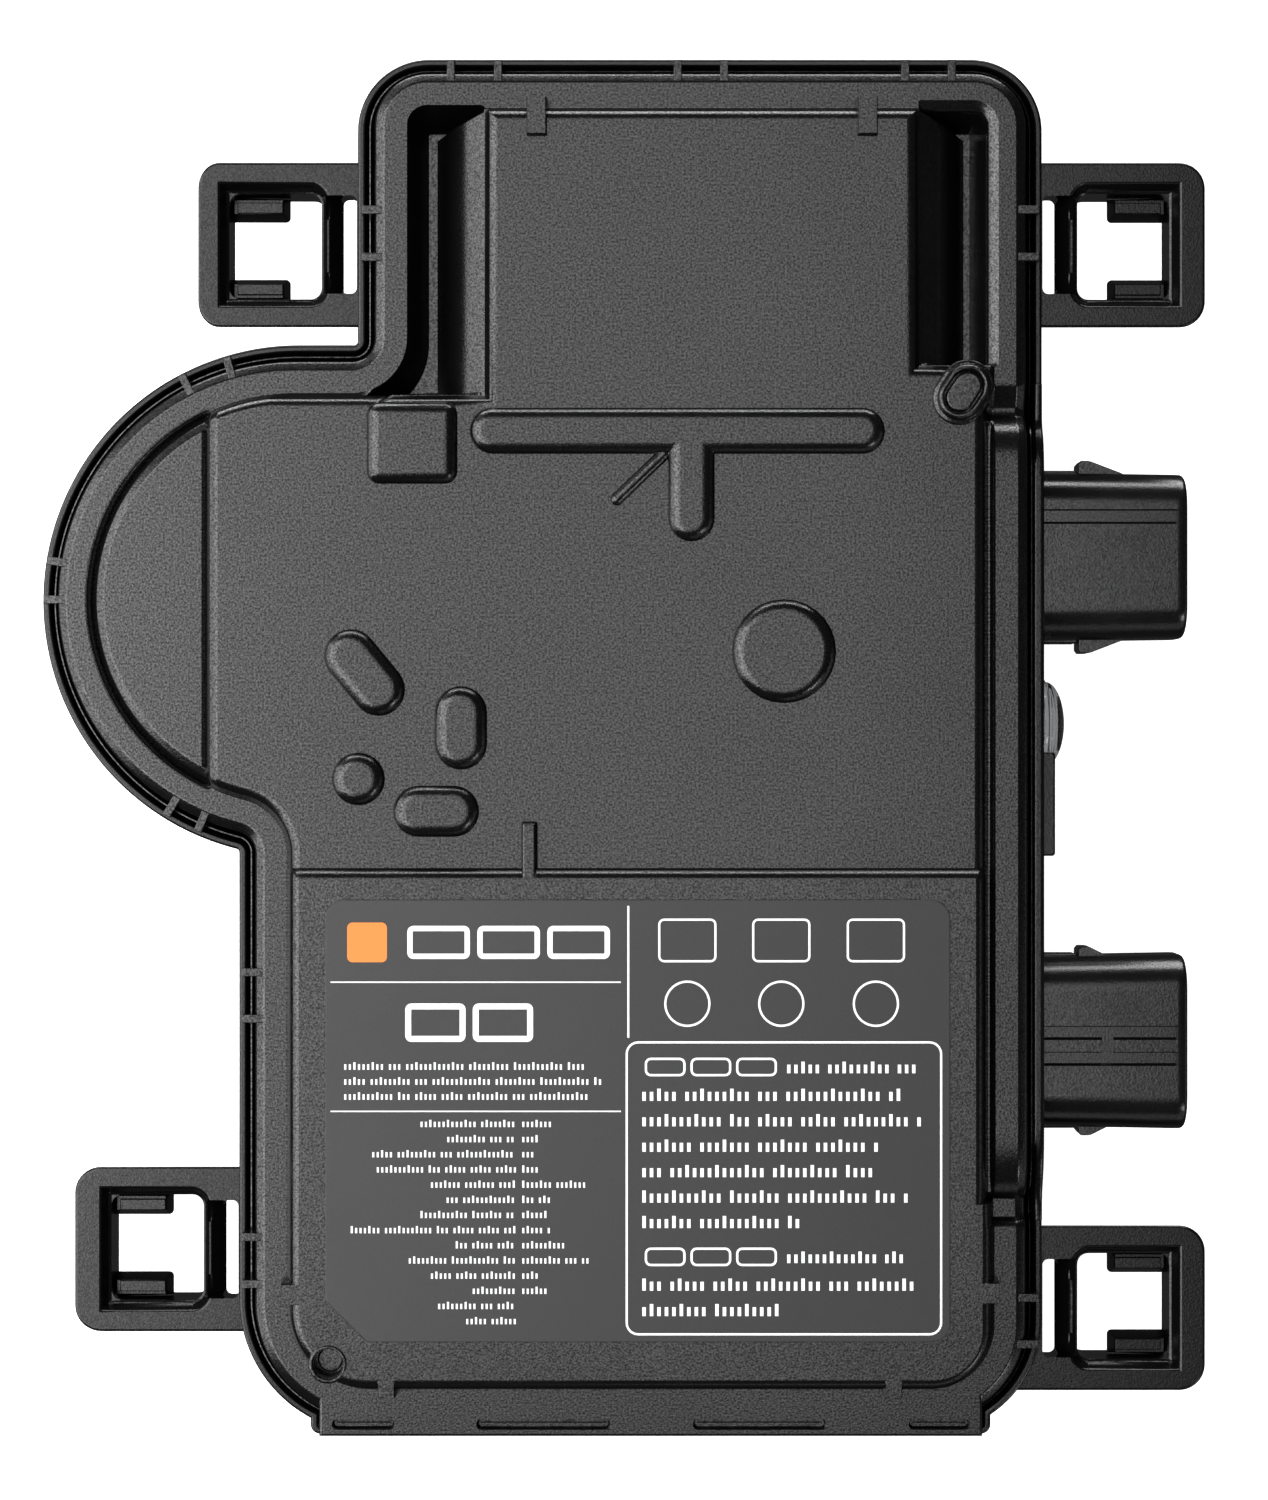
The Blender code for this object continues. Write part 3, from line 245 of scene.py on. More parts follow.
class Shape:
    """Vertices and faces of one piece, gathered in millimetres."""

    def __init__(self):
        self.points = []
        self.faces = []

    def loft(self, rings, axis="Z", caps=(True, True)):
        """A body through rings of (outline, distance along the axis), each with the same point count."""
        first = len(self.points)
        count = len(rings[0][0])
        for outline, along in rings:
            for u, v in outline:
                self.points.append({"X": (along, u, v), "Y": (u, along, v), "Z": (u, v, along)}[axis])
        flip = (rings[-1][1] < rings[0][1]) != (axis == "Y")
        for ring in range(len(rings) - 1):
            for index in range(count):
                a = first + ring * count + index
                b = first + ring * count + (index + 1) % count
                face = (a, b, b + count, a + count)
                self.faces.append(face[::-1] if flip else face)
        low_cap = tuple(range(first, first + count))
        high_cap = tuple(range(first + (len(rings) - 1) * count, first + len(rings) * count))
        if caps[0]:
            self.faces.append(low_cap if flip else low_cap[::-1])
        if caps[1]:
            self.faces.append(high_cap[::-1] if flip else high_cap)
        return self

    def relief(self, contours, height, inside, skirt=None, upwards=True):
        """A surface over the plan view. contours are (points, closed); free edges reach down to skirt."""
        plan_points, lines = [], []
        for contour, closed in contours:
            first = len(plan_points)
            plan_points += [Vector(point) for point in contour]
            lines += [(first + step, first + step + 1) for step in range(len(contour) - 1)]
            if closed:
                lines.append((first + len(contour) - 1, first))
        flat, _, triangles = delaunay_2d_cdt(plan_points, lines, [], 0, 1e-5)[:3]
        plan = np.array([tuple(point) for point in flat])
        triangles = np.array(triangles)
        middle = plan[triangles].mean(axis=1)
        triangles = triangles[inside(middle[:, 0], middle[:, 1])]
        levels = height(plan[:, 0], plan[:, 1])
        first = len(self.points)
        used = np.unique(triangles)
        order = {int(old): first + new for new, old in enumerate(used)}
        self.points += [(*plan[old], levels[old]) for old in used]
        free = set()
        for a, b, c in triangles.tolist():
            face = (order[a], order[b], order[c])
            self.faces.append(face if upwards else face[::-1])
            for edge in ((a, b), (b, c), (c, a)):
                if edge[::-1] in free:
                    free.remove(edge[::-1])
                else:
                    free.add(edge)
        if skirt is not None:
            self.skirt(free, plan, order, skirt, upwards)
        return self

    def skirt(self, free, plan, order, level, upwards):
        """Walls from the surface's free edges to a level."""
        foot = {}
        for a, b in sorted(free):
            for corner in (a, b):
                if corner not in foot:
                    foot[corner] = len(self.points)
                    self.points.append((*plan[corner], level))
            face = (order[b], order[a], foot[a], foot[b])
            self.faces.append(face if upwards else face[::-1])

    def slab(self, outline_at, low, high, edge=0.25):
        """A plate whose outline is given shrunk by an amount, with rounded upper and lower edges."""
        rings = []
        for turn in range(5):
            angle = radians(22.5 * turn)
            rings.append((outline_at(edge * (1 - sin(angle))), low + edge * (1 - cos(angle))))
        for turn in range(5):
            angle = radians(22.5 * turn)
            rings.append((outline_at(edge * (1 - cos(angle))), high - edge * (1 - sin(angle))))
        return self.loft(rings)

    def make(self, name, material, replaces=(), sharp=38):
        mesh = bpy.data.meshes.new(name)
        mesh.from_pydata([Vector(point) * MM for point in self.points], [], self.faces)
        mesh.validate()
        mesh.shade_smooth()
        mesh.set_sharp_from_angle(angle=radians(sharp))
        for face in mesh.polygons:
            face.use_smooth = abs(face.normal.z) < FLAT
        mesh.materials.append(material)
        piece = bpy.data.objects.new(name, mesh)
        bpy.context.scene.collection.objects.link(piece)
        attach(piece, "root")
        if replaces:
            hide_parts(*replaces)
        return piece


# ---------------------------------------------------------------- materials

NOISE_SPAN = (0.3, 0.7)      # most of a noise's values lie in this span


def link(tree, source, target):
    tree.links.new(source, target)


def new_node(tree, kind, **inputs):
    """A shader node with some of its inputs set."""
    node = tree.nodes.new(kind)
    for key, value in inputs.items():
        node.inputs[key.replace("_", " ")].default_value = value
    return node


def new_material(name):
    """A node material, its shader and its object coordinates."""
    material = bpy.data.materials.new(name)
    material.use_nodes = True
    place = material.node_tree.nodes.new("ShaderNodeTexCoord")
    return material, material.node_tree.nodes["Principled BSDF"], place.outputs["Object"]


def noise(tree, place, **settings):
    texture = new_node(tree, "ShaderNodeTexNoise", **settings)
    link(tree, place, texture.inputs["Vector"])
    return texture.outputs["Fac"]


def add_bump(tree, source, shader, strength, depth):
    bump = new_node(tree, "ShaderNodeBump", Strength=strength, Distance=depth * MM)
    link(tree, source, bump.inputs["Height"])
    link(tree, bump.outputs["Normal"], shader.inputs["Normal"])


def add_range(tree, source, target, low, high, span=NOISE_SPAN):
    """Spreads a noise's usual span over the values from low to high."""
    spread = new_node(tree, "ShaderNodeMapRange", From_Min=span[0], From_Max=span[1], To_Min=low, To_Max=high)
    link(tree, source, spread.inputs["Value"])
    link(tree, spread.outputs["Result"], target)


def grained(name, colour, roughness, grain=0.28, depth=0.02, variation=0.05, metallic=0.0, speckle=0.1,
            gloss=0.5):
    """Moulded or coated surface: fine pebbled and speckled grain, slow changes of tone, uneven gloss."""
    material, shader, place = new_material(name)
    tree = material.node_tree
    shader.inputs["Metallic"].default_value = metallic
    fine = noise(tree, place, Scale=1 / (grain * MM), Detail=1.0, Roughness=0.5)
    slow = noise(tree, place, Scale=45.0, Detail=4.0, Roughness=0.6)
    add_bump(tree, fine, shader, 1.0, depth)
    add_range(tree, fine, shader.inputs["Specular IOR Level"], gloss * (1 - speckle), gloss * (1 + speckle))
    tone = tree.nodes.new("ShaderNodeValToRGB")
    for stop, position, change in zip(tone.color_ramp.elements, NOISE_SPAN, (-variation, variation)):
        stop.position = position
        stop.color = (*[min(1, channel * (1 + change)) for channel in colour], 1)
    link(tree, slow, tone.inputs["Fac"])
    link(tree, tone.outputs["Color"], shader.inputs["Base Color"])
    add_range(tree, slow, shader.inputs["Roughness"], roughness - 0.04, roughness + 0.04)
    return material


def clear(name):
    """Clear, slightly smoked plastic with faint flow marks."""
    material, shader, place = new_material(name)
    tree = material.node_tree
    shader.inputs["Base Color"].default_value = (0.2, 0.205, 0.21, 1)
    shader.inputs["Transmission Weight"].default_value = 1.0
    shader.inputs["IOR"].default_value = 1.49
    flow = noise(tree, place, Scale=300.0, Detail=2.0)
    add_range(tree, flow, shader.inputs["Roughness"], 0.03, 0.12, (0.0, 1.0))
    add_bump(tree, flow, shader, 0.2, 0.02)
    return material


BLACK = (0.0022, 0.00225, 0.0023)
case_polymer = grained("case_polymer", BLACK, 0.22, grain=0.32, speckle=0.6)
base_polymer = grained("base_polymer", BLACK, 0.22, depth=0.018, speckle=0.35, gloss=0.35)
connector_polymer = grained("connector_polymer", (0.0022, 0.0022, 0.0022), 0.22, depth=0.018, speckle=0.4,
                            gloss=0.6)
label_film = grained("label_film", (0.013, 0.013, 0.0135), 0.42, grain=0.12, depth=0.004)
print_white = grained("print_white", (0.92, 0.92, 0.93), 0.55, grain=0.1, depth=0.003, variation=0.03)
print_orange = grained("print_orange", (0.80, 0.22, 0.03), 0.55, grain=0.1, depth=0.003, variation=0.04)
clear_plastic = clear("clear_plastic")

# name: colour, roughness, grain size, grain depth, variation, metallic
INNER_FINISHES = {
    "seal_rubber": ((0.012, 0.012, 0.012), 0.75, 0.4, 0.03, 0.15, 0.0),
    "tinned_copper": ((0.72, 0.70, 0.64), 0.30, 0.2, 0.01, 0.08, 1.0),
    "board_laminate": ((0.012, 0.11, 0.045), 0.45, 0.6, 0.02, 0.2, 0.0),
    "aluminium": ((0.75, 0.76, 0.77), 0.38, 0.3, 0.02, 0.08, 1.0),
    "capacitor_sleeve": ((0.018, 0.03, 0.09), 0.30, 0.5, 0.01, 0.1, 0.0),
    "ferrite": ((0.05, 0.047, 0.045), 0.60, 0.25, 0.04, 0.2, 0.0),
    "winding_copper": ((0.70, 0.30, 0.12), 0.35, 0.8, 0.15, 0.15, 1.0),
    "moulding_compound": ((0.016, 0.016, 0.017), 0.55, 0.2, 0.02, 0.1, 0.0),
    "thermal_silicone": ((0.35, 0.45, 0.52), 0.80, 0.3, 0.03, 0.1, 0.0),
    "potting_resin": ((0.05, 0.045, 0.04), 0.50, 1.5, 0.05, 0.2, 0.0),
    "film_casing": ((0.55, 0.36, 0.08), 0.40, 0.3, 0.01, 0.08, 0.0),
    "varistor_coat": ((0.05, 0.13, 0.33), 0.35, 0.6, 0.03, 0.12, 0.0),
}


def dress_inner_nodes():
    """Gives each CAD node that stays shown the procedural finish of its material slot."""
    finishes = {"clear_plastic": clear_plastic, "case_polymer": case_polymer, "label_film": label_film,
                "connector_polymer": connector_polymer}
    for name, (colour, roughness, grain, depth, variation, metallic) in INNER_FINISHES.items():
        finishes[name] = grained(name, colour, roughness, grain, depth, variation, metallic)
    for entry in frame["record"]["subparts"]:
        node = frame["nodes"][entry["node"]]
        for index in range(len(node.material_slots)):
            node.material_slots[index].material = finishes[entry["material_slot"]]


# ---------------------------------------------------------------- lid

# Outer edge of the lid, as (inset from the case outline, drop below the band): a low lip, a groove, a bevel
EDGE = ((1.72, 5.6), (1.76, 4.8), (1.82, 4.66), (1.98, 4.64), (2.06, 4.74), (2.12, 5.3), (2.45, 6.2),
        (2.78, 5.2), (2.86, 1.75), (2.97, 1.0), (3.01, 0.90), (3.07, 0.79), (3.15, 0.68), (3.24, 0.60),
        (3.35, 0.53), (4.15, 0.11), (4.26, 0.06), (4.38, 0.02), (4.52, 0.0))
EDGE_WIDTH = EDGE[-1][0]
WALL_START = 7.8             # foot of the wall between band and deck
WALL_WIDTH = 2.4
HUMP_SHIFT = 1.0             # the wall stands further in along the hump
UPPER_SHIFT = 0.55           # and a little further in along the upper end
UPPER_Y = 80.0
HUMP_SIDE = 7.9
HUMP_SIDE_WIDTH = 0.7
HUMP_X = 30.0                # the hump and the pocket are right of this line
LOBE_LOW_Y = -25.0           # the lobe's edge is above this line
# Lobe edge, as (inset, height above the band): the band rolls into a narrow groove, then a wall and a bevel
LOBE_RISE = LOBE_Z - BAND_Z
LOBE_EDGE = ((7.2, 0.0), (7.5, -0.06), (7.8, -0.25), (8.05, -0.6), (8.22, -1.0), (8.32, -1.1),
             (9.05, LOBE_RISE - 0.72), (9.12, LOBE_RISE - 0.62), (9.2, LOBE_RISE - 0.53),
             (9.3, LOBE_RISE - 0.46), (10.15, LOBE_RISE - 0.06), (10.28, LOBE_RISE - 0.02),
             (10.42, LOBE_RISE))
# Lobe roof to deck, as (distance across, share of the rise), with a small groove at the foot
STEP_X = LOBE_X - 13.9
CHORD = ((-0.35, 0.0), (-0.15, -0.11), (0.02, -0.2), (0.1, -0.22), (0.995, 0.67), (1.05, 0.70), (1.12, 0.74),
         (1.24, 0.79), (2.14, 0.98), (2.24, 0.995), (2.4, 1.0))
LABEL_EDGE_Y = -18.4         # deck to label plateau
LABEL_EDGE_WIDTH = 1.9

# Band height along the right side, from the lower end up: position along Y, height above the pocket's floor
BAND_RISE = BAND_Z - POCKET_Z
HUMP_RISE = HUMP_Z - POCKET_Z
BAND_SIDE = (
    (-73.8, BAND_RISE), (-73.4, BAND_RISE - 0.05), (-73.0, BAND_RISE - 0.22), (-72.6, BAND_RISE - 0.55),
    (-72.35, BAND_RISE - 0.95), (-72.2, 0.1), (-72.0, 0.0), (-69.3, 0.0), (-69.2, 0.1), (-68.7, 1.0),
    (-68.0, 1.9), (-67.0, 2.7), (-65.8, 3.3), (-64.4, 3.75),
    (-62.6, HUMP_RISE - 0.15), (-60.6, HUMP_RISE - 0.03),
    (-58.9, HUMP_RISE), (41.4, HUMP_RISE), (43.4, HUMP_RISE - 0.08), (44.8, HUMP_RISE - 0.22),
    (45.8, HUMP_RISE - 0.40), (46.8, HUMP_RISE - 0.70), (47.7, HUMP_RISE - 1.10), (48.4, HUMP_RISE - 1.56),
    (49.0, HUMP_RISE - 2.06), (49.6, HUMP_RISE - 2.72), (50.2, HUMP_RISE - 3.5), (50.6, 0.2), (50.9, 0.05),
    (51.7, 0.0), (51.9, 0.03), (52.2, 0.13), (54.9, BAND_RISE - 0.16), (55.2, BAND_RISE - 0.05),
    (55.6, BAND_RISE),
)
HUMP_ENDS = (-69.25, 51.7)

# Pads on the deck: end points of the middle line, radius at the foot, rise
PADS = (
    ((-20.1, 47.95), (36.0, 47.95), 3.5, PAD_RISE),
    ((10.1, 47.5), (10.1, 34.7), 3.55, PAD_RISE),
    ((24.1, 14.5), (24.2, 14.5), 7.9, PAD_RISE),
    ((-41.6, 13.8), (-37.4, 8.7), 4.05, PAD_RISE),
    ((-24.9, 5.2), (-24.9, 0.5), 4.0, PAD_RISE),
    ((-40.5, -4.9), (-40.4, -4.9), 4.0, PAD_RISE),
    ((-31.3, -9.8), (-26.0, -9.8), 3.9, PAD_RISE),
    ((6.0, 44.5), (-1.2, 37.6), 1.0, 0.8),
)
PAD_EDGE = 1.95
SMALL_PAD_R = 1.8            # pads thinner than this get a narrower edge
# Centre, half sizes and corner
SQUARE = ((-32.3, 46.1), 6.9, 6.2, 1.9)
SHORT_RIB = ((-14.5, -15.9), 1.3, 4.6, 0.4)
SHORT_RIB_EDGE = 0.6
# Centre, half sizes, height of the top
LUGS = (
    ((-13.4, 95.7), 1.7, 3.1, DECK_Z + 1.3), ((36.8, 95.7), 1.7, 3.1, DECK_Z + 1.3),
    ((-50.1, -82.9), 2.2, 1.8, LABEL_Z), ((54.5, -82.7), 2.4, 1.8, LABEL_Z),
    ((-36.1, -96.8), 1.5, 2.0, LABEL_Z), ((40.7, -96.8), 1.5, 2.0, LABEL_Z),
)
LUG_EDGE = 0.35
LUG_CORNER = 0.3

# Trenches beside the capacitor box: shoulder position, direction outwards, lower end
TRENCHES = ((-21.4, -1, 53.6), (44.9, 1, 58.1))
SHOULDER_R = 14.0
SHOULDER_START = 27          # the shoulder bends from this slope to SHOULDER_TURN, then it falls to the floor
SHOULDER_TURN = 53
SHOULDER_REACH = 7.8
SHOULDER_TOP_Z = DECK_Z - 2.2
STEP_ROUND = 2.1
TRENCH_END = 1.5
TRENCH_CUT_Y, TRENCH_CUT_SLOPE, TRENCH_CUT_START, TRENCH_CUT_WIDTH = 98.3, 0.4, -1.4, 1.0
# Outer wall of a trench, as (inset, share of the depth); the right one has a bevel along its upper edge
RAMPS = {-1: ((7.9, 0.0), (10.7, 1.0)),
         1: ((7.15, 0.0), (7.25, 0.003), (7.4, 0.012), (8.6, 0.07), (8.72, 0.085), (8.82, 0.12), (8.9, 0.2),
             (10.7, 1.0))}

# Bosses: distance from the middle line or centre, height
PORT_CENTRE = (PORT_HIGH + PORT_LOW) / 2
PORT_REACH = Vector((0.6, 0.9))
PORT_LINE = (tuple(PORT_CENTRE.xy - PORT_REACH), tuple(PORT_CENTRE.xy + PORT_REACH))
PORT_RING = ((0, -2.0), (2.38, -2.0), (2.42, 1.0), (2.52, 1.35), (2.66, 1.52), (2.86, 1.56), (3.08, 1.46),
             (3.26, 1.18), (3.38, 0.78), (3.44, 0.5), (3.6, 0.42), (3.86, 0.40), (3.98, 0.32), (4.08, 0.1),
             (4.12, -99))
PORT_HOLE_R = 2.4
VENT_CENTRE = tuple(((VENT_HIGH + VENT_LOW) / 2).xy)
VENT_RING = ((0, -6.0), (2.28, -6.0), (2.30, -0.6), (2.32, 0.0), (2.42, 0.12), (2.62, 0.15), (2.78, 0.1),
             (2.90, -0.05), (2.98, -0.3), (3.02, -5.6), (3.04, -99))
VENT_HOLE_R = 2.29

# Lip over the lower edge
TAB_LOW_X, TAB_HIGH_X = RIGHT_X - 111.1, RIGHT_X - 9.6
TAB_BOTTOM_Y = BOTTOM_Y + 0.5
TAB_CENTRE = ((TAB_LOW_X + TAB_HIGH_X) / 2, TAB_BOTTOM_Y + 6.0)
TAB_HALF = ((TAB_HIGH_X - TAB_LOW_X) / 2, 6.0)
TAB_EDGE = ((0, 7.0), (0.04, 0.55), (0.10, 0.3), (0.20, 0.12), (0.34, 0.03), (0.5, 0.0))
TAB_SLOTS = ((-44.0, -36.0), (-21.9, -3.0), (11.2, 30.0), (44.2, 52.0))
TAB_SLOT_Y = BOTTOM_Y + 2.4
TAB_SLOT_R = 0.8


def in_hump(x, y):
    return (x > HUMP_X) & (y > HUMP_ENDS[0]) & (y < HUMP_ENDS[1])


def roof(x, y):
    """Height of the upper faces: deck and label plateau."""
    return DECK_Z + (LABEL_Z - DECK_Z) * bank(LABEL_EDGE_Y - y, LABEL_EDGE_WIDTH, CROWN)


def shoulder_knots():
    """The shoulder's side view: distance outwards from its top, and height."""
    first = radians(SHOULDER_START)
    angles = [first + radians((SHOULDER_TURN - SHOULDER_START) * step / 10) for step in range(11)]
    knots = [(SHOULDER_R * (sin(angle) - sin(first)), SHOULDER_TOP_Z - SHOULDER_R * (cos(first) - cos(angle)))
             for angle in angles]
    return knots + [(SHOULDER_REACH, TRENCH_FLOOR_Z)]


def trench_height(x, y, inset, above, shoulder_x, outwards, low_y):
    """The lid's height with one trench cut into it; above is the height without the trench."""
    across = outwards * (x - shoulder_x)
    beyond = np.maximum(np.maximum(-across, low_y - y), 0)
    stepped = SHOULDER_TOP_Z + (DECK_Z - SHOULDER_TOP_Z) * bank(beyond, STEP_ROUND)
    shoulder = profile(across, shoulder_knots())
    end = SHOULDER_TOP_Z - (SHOULDER_TOP_Z - TRENCH_FLOOR_Z) * bank(y - low_y, TRENCH_END)
    cut = TRENCH_CUT_Y - TRENCH_CUT_SLOPE * (across - TRENCH_CUT_START) - y
    cut /= sqrt(1 + TRENCH_CUT_SLOPE ** 2)
    shoulder = TRENCH_FLOOR_Z + (shoulder - TRENCH_FLOOR_Z) * bank(cut, TRENCH_CUT_WIDTH)
    wall = BAND_Z + (TRENCH_FLOOR_Z - BAND_Z) * profile(inset, RAMPS[outwards])
    low = np.maximum(wall, np.minimum(above, np.maximum(shoulder, end)))
    near = (across > -STEP_ROUND - 1) & (y > low_y - STEP_ROUND - 1)
    inside = (across > 0) & (y > low_y)
    return np.where(inside, low, np.where(near, np.minimum(above, stepped), above))


def raised(level, deep, foot, rise, width):
    """The height with a pad added; deep is the distance inwards from the pad's foot."""
    return np.where(deep >= 0, np.maximum(level, foot + rise * bank(deep, width, CROWN)), level)


def lid_height(x, y):
    inset = case_inset(x, y)
    band = np.where(x > HUMP_X, POCKET_Z + profile(y, BAND_SIDE), BAND_Z)
    low_band = np.minimum(band, BAND_Z)
    start = WALL_START + np.where(in_hump(x, y), HUMP_SHIFT, 0) + np.where(y > UPPER_Y, UPPER_SHIFT, 0)
    level = low_band + (roof(x, y) - low_band) * bank(inset - start, WALL_WIDTH)
    lobe = BAND_Z + profile(inset, LOBE_EDGE)
    share = profile(x - STEP_X, CHORD)
    share = np.where(inset < LOBE_EDGE[-1][0], np.maximum(share, 0), share)
    level = np.where(y < LOBE_LOW_Y, level, lobe + (level - lobe) * share)
    hump_side = 1 - bank(inset - HUMP_SIDE, HUMP_SIDE_WIDTH)
    level = np.where(x > HUMP_X, np.maximum(level, low_band + (band - low_band) * hump_side), level)
    for shoulder_x, outwards, low_y in TRENCHES:
        level = trench_height(x, y, inset, level, shoulder_x, outwards, low_y)
    level = np.where(inset < EDGE_WIDTH, np.minimum(level, band - profile(inset, EDGE)), level)
    for start_point, end_point, radius, rise in PADS:
        deep = radius - segment_distance(x, y, start_point, end_point)
        level = raised(level, deep, DECK_Z, rise, PAD_EDGE * min(1, radius / SMALL_PAD_R))
    level = raised(level, rect_inset(x, y, *SQUARE), DECK_Z, PAD_RISE, PAD_EDGE)
    level = raised(level, rect_inset(x, y, *SHORT_RIB), DECK_Z, LABEL_Z - DECK_Z, SHORT_RIB_EDGE)
    for centre, half_x, half_y, top in LUGS:
        deep = rect_inset(x, y, centre, half_x, half_y, LUG_CORNER)
        level = raised(level, deep, BAND_Z, top - BAND_Z, LUG_EDGE)
    deep = rect_inset(x, y, TAB_CENTRE, *TAB_HALF)
    level = np.maximum(level, np.where(deep >= 0, BAND_Z - profile(deep, TAB_EDGE), 0))
    for low_x, high_x in TAB_SLOTS:
        away = segment_distance(x, y, (low_x, TAB_SLOT_Y), (high_x, TAB_SLOT_Y))
        groove = BAND_Z - 1.5 * bank(TAB_SLOT_R - away, 0.3) + 0.9 * (away < 0.16)
        level = np.where(away < TAB_SLOT_R, np.minimum(level, groove), level)
    away = segment_distance(x, y, *PORT_LINE)
    ring = DECK_Z + profile(away, PORT_RING)
    level = np.where(away < PORT_HOLE_R, ring, np.maximum(level, ring))
    away = np.hypot(x - VENT_CENTRE[0], y - VENT_CENTRE[1])
    ring = LABEL_Z + profile(away, VENT_RING)
    return np.where(away < VENT_HOLE_R, ring, np.maximum(level, ring))


def lid_contours():
    insets = [EDGE_WIDTH + TINY] + firsts(EDGE) + bank_knots(WALL_START, WALL_WIDTH)
    insets += firsts(RAMPS[1]) + [RAMPS[-1][0][0]]
    contours = [(case_outline(inset), True) for inset in sorted(insets)]
    side = bank_knots(WALL_START + HUMP_SHIFT, WALL_WIDTH) + bank_knots(HUMP_SIDE, HUMP_SIDE_WIDTH)
    contours += [line(RIGHT_X - inset, HUMP_ENDS[0] - 3, RIGHT_X - inset, HUMP_ENDS[1] + 4) for inset in side]
    contours += [line(-24, TOP_Y - inset, 48, TOP_Y - inset)
                 for inset in bank_knots(WALL_START + UPPER_SHIFT, WALL_WIDTH)]
    ends = [end + shift for end in HUMP_ENDS for shift in (-0.03, 0.03)]
    contours += [line(RIGHT_X - 12, y, RIGHT_X, y) for y in firsts(BAND_SIDE) + ends]
    for inset in firsts(LOBE_EDGE) + [LOBE_EDGE[0][0] - TINY, LOBE_EDGE[-1][0] + TINY]:
        points = [(x, y) for x, y in case_outline(inset) if x < STEP_X + 3 and y > LOBE_LOW_Y]
        contours.append((points, False))
    contours += [line(STEP_X + across, LOBE_LOW_Y, STEP_X + across, 66)
                 for across in firsts(CHORD) + [CHORD[0][0] - TINY, CHORD[-1][0] + TINY]]
    contours += [line(-60, LABEL_EDGE_Y - y, RIGHT_X, LABEL_EDGE_Y - y)
                 for y in bank_knots(0, LABEL_EDGE_WIDTH, CROWN)]
    for shoulder_x, outwards, low_y in TRENCHES:
        contours += trench_contours(shoulder_x, outwards, low_y)
    for start, end, radius, _ in PADS:
        knots = bank_knots(0, PAD_EDGE * min(1, radius / SMALL_PAD_R), CROWN)[:-1]
        contours += [(stadium(start, end, radius - knot), True) for knot in knots if radius - knot > 0.02]
    contours += rect_lines(*SQUARE, bank_knots(0, PAD_EDGE, CROWN), 5)
    contours += rect_lines(*SHORT_RIB, bank_knots(0, SHORT_RIB_EDGE, CROWN), 5)
    for centre, half_x, half_y, _ in LUGS:
        contours += rect_lines(centre, half_x, half_y, LUG_CORNER, bank_knots(0, LUG_EDGE, CROWN)[:-1], 3)
    for knot in firsts(TAB_EDGE) + [TAB_EDGE[-1][0] + TINY]:
        half = (TAB_HALF[0] - knot, TAB_HALF[1] - knot)
        contours.append((rounded_rect(TAB_CENTRE, *half, 0.01, 1), True))
    for low_x, high_x in TAB_SLOTS:
        for radius in (0.14, 0.18, 0.5, 0.56, 0.62, 0.7, 0.76, TAB_SLOT_R, TAB_SLOT_R + TINY):
            contours.append((stadium((low_x, TAB_SLOT_Y), (high_x, TAB_SLOT_Y), radius, 8), True))
    contours += [(stadium(*PORT_LINE, radius, 20), True) for radius in firsts(PORT_RING[1:])]
    contours += [(circle(VENT_CENTRE, radius), True) for radius in firsts(VENT_RING[1:])]
    return contours


def trench_contours(shoulder_x, outwards, low_y):
    """Contour lines of one trench: the step round it, its shoulder and its lower end."""
    contours = []
    for knot in bank_knots(0, STEP_ROUND)[1:]:
        x, y = shoulder_x - outwards * knot, low_y - knot
        contours.append(([(x, TOP_Y - 3), (x, y), (shoulder_x + outwards * 14, y)], False))
    for across, _ in shoulder_knots()[1:]:
        x = shoulder_x + outwards * across
        contours.append(line(x, low_y, x, TOP_Y - 3))
    for knot in bank_knots(0, TRENCH_CUT_WIDTH):
        reach = knot * sqrt(1 + TRENCH_CUT_SLOPE ** 2)
        y0 = TRENCH_CUT_Y + TRENCH_CUT_SLOPE * TRENCH_CUT_START - reach
        contours.append(line(shoulder_x, y0, shoulder_x + outwards * 8, y0 - TRENCH_CUT_SLOPE * 8))
    for knot in bank_knots(0, TRENCH_END)[2:]:
        contours.append(line(shoulder_x, low_y + knot, shoulder_x + outwards * 14, low_y + knot))
    return contours


def lid_inside(x, y):
    return (case_inset(x, y) > EDGE[0][0]) | (rect_inset(x, y, TAB_CENTRE, *TAB_HALF) > 0)


GROOVE_RIBS = {              # positions along each side of the groove between lid and rim
    "top": (-26.6, -19.4, 8.1, 15.2, 42.9, 50.0),
    "box": (82.1, 74.9),
    "lower_left": (-34.5, -41.6, -75.0, -82.2),
    "lower_right": (-84.3, -91.4),
}
LOBE_RIB_ANGLES = (117, 106, 171, 180, 239, 247)
RIB_NEAR, RIB_FAR = 0.95, 4.35
RIB_HALF = 0.62


def rib_places():
    """Outer end of each groove rib on the case outline, and the direction inwards."""
    places = [((x, TOP_Y), (0, -1)) for x in GROOVE_RIBS["top"]]
    places += [((RIGHT_X, y), (-1, 0)) for y in GROOVE_RIBS["box"] + GROOVE_RIBS["lower_right"]]
    places += [((BOX_X, y), (1, 0)) for y in GROOVE_RIBS["box"]]
    places += [((LOWER_X, y), (1, 0)) for y in GROOVE_RIBS["lower_left"]]
    for angle in LOBE_RIB_ANGLES:
        out = (cos(radians(angle)), sin(radians(angle)))
        places.append(((LOBE_X + LOBE_R * out[0], LOBE_Y + LOBE_R * out[1]), (-out[0], -out[1])))
    return places


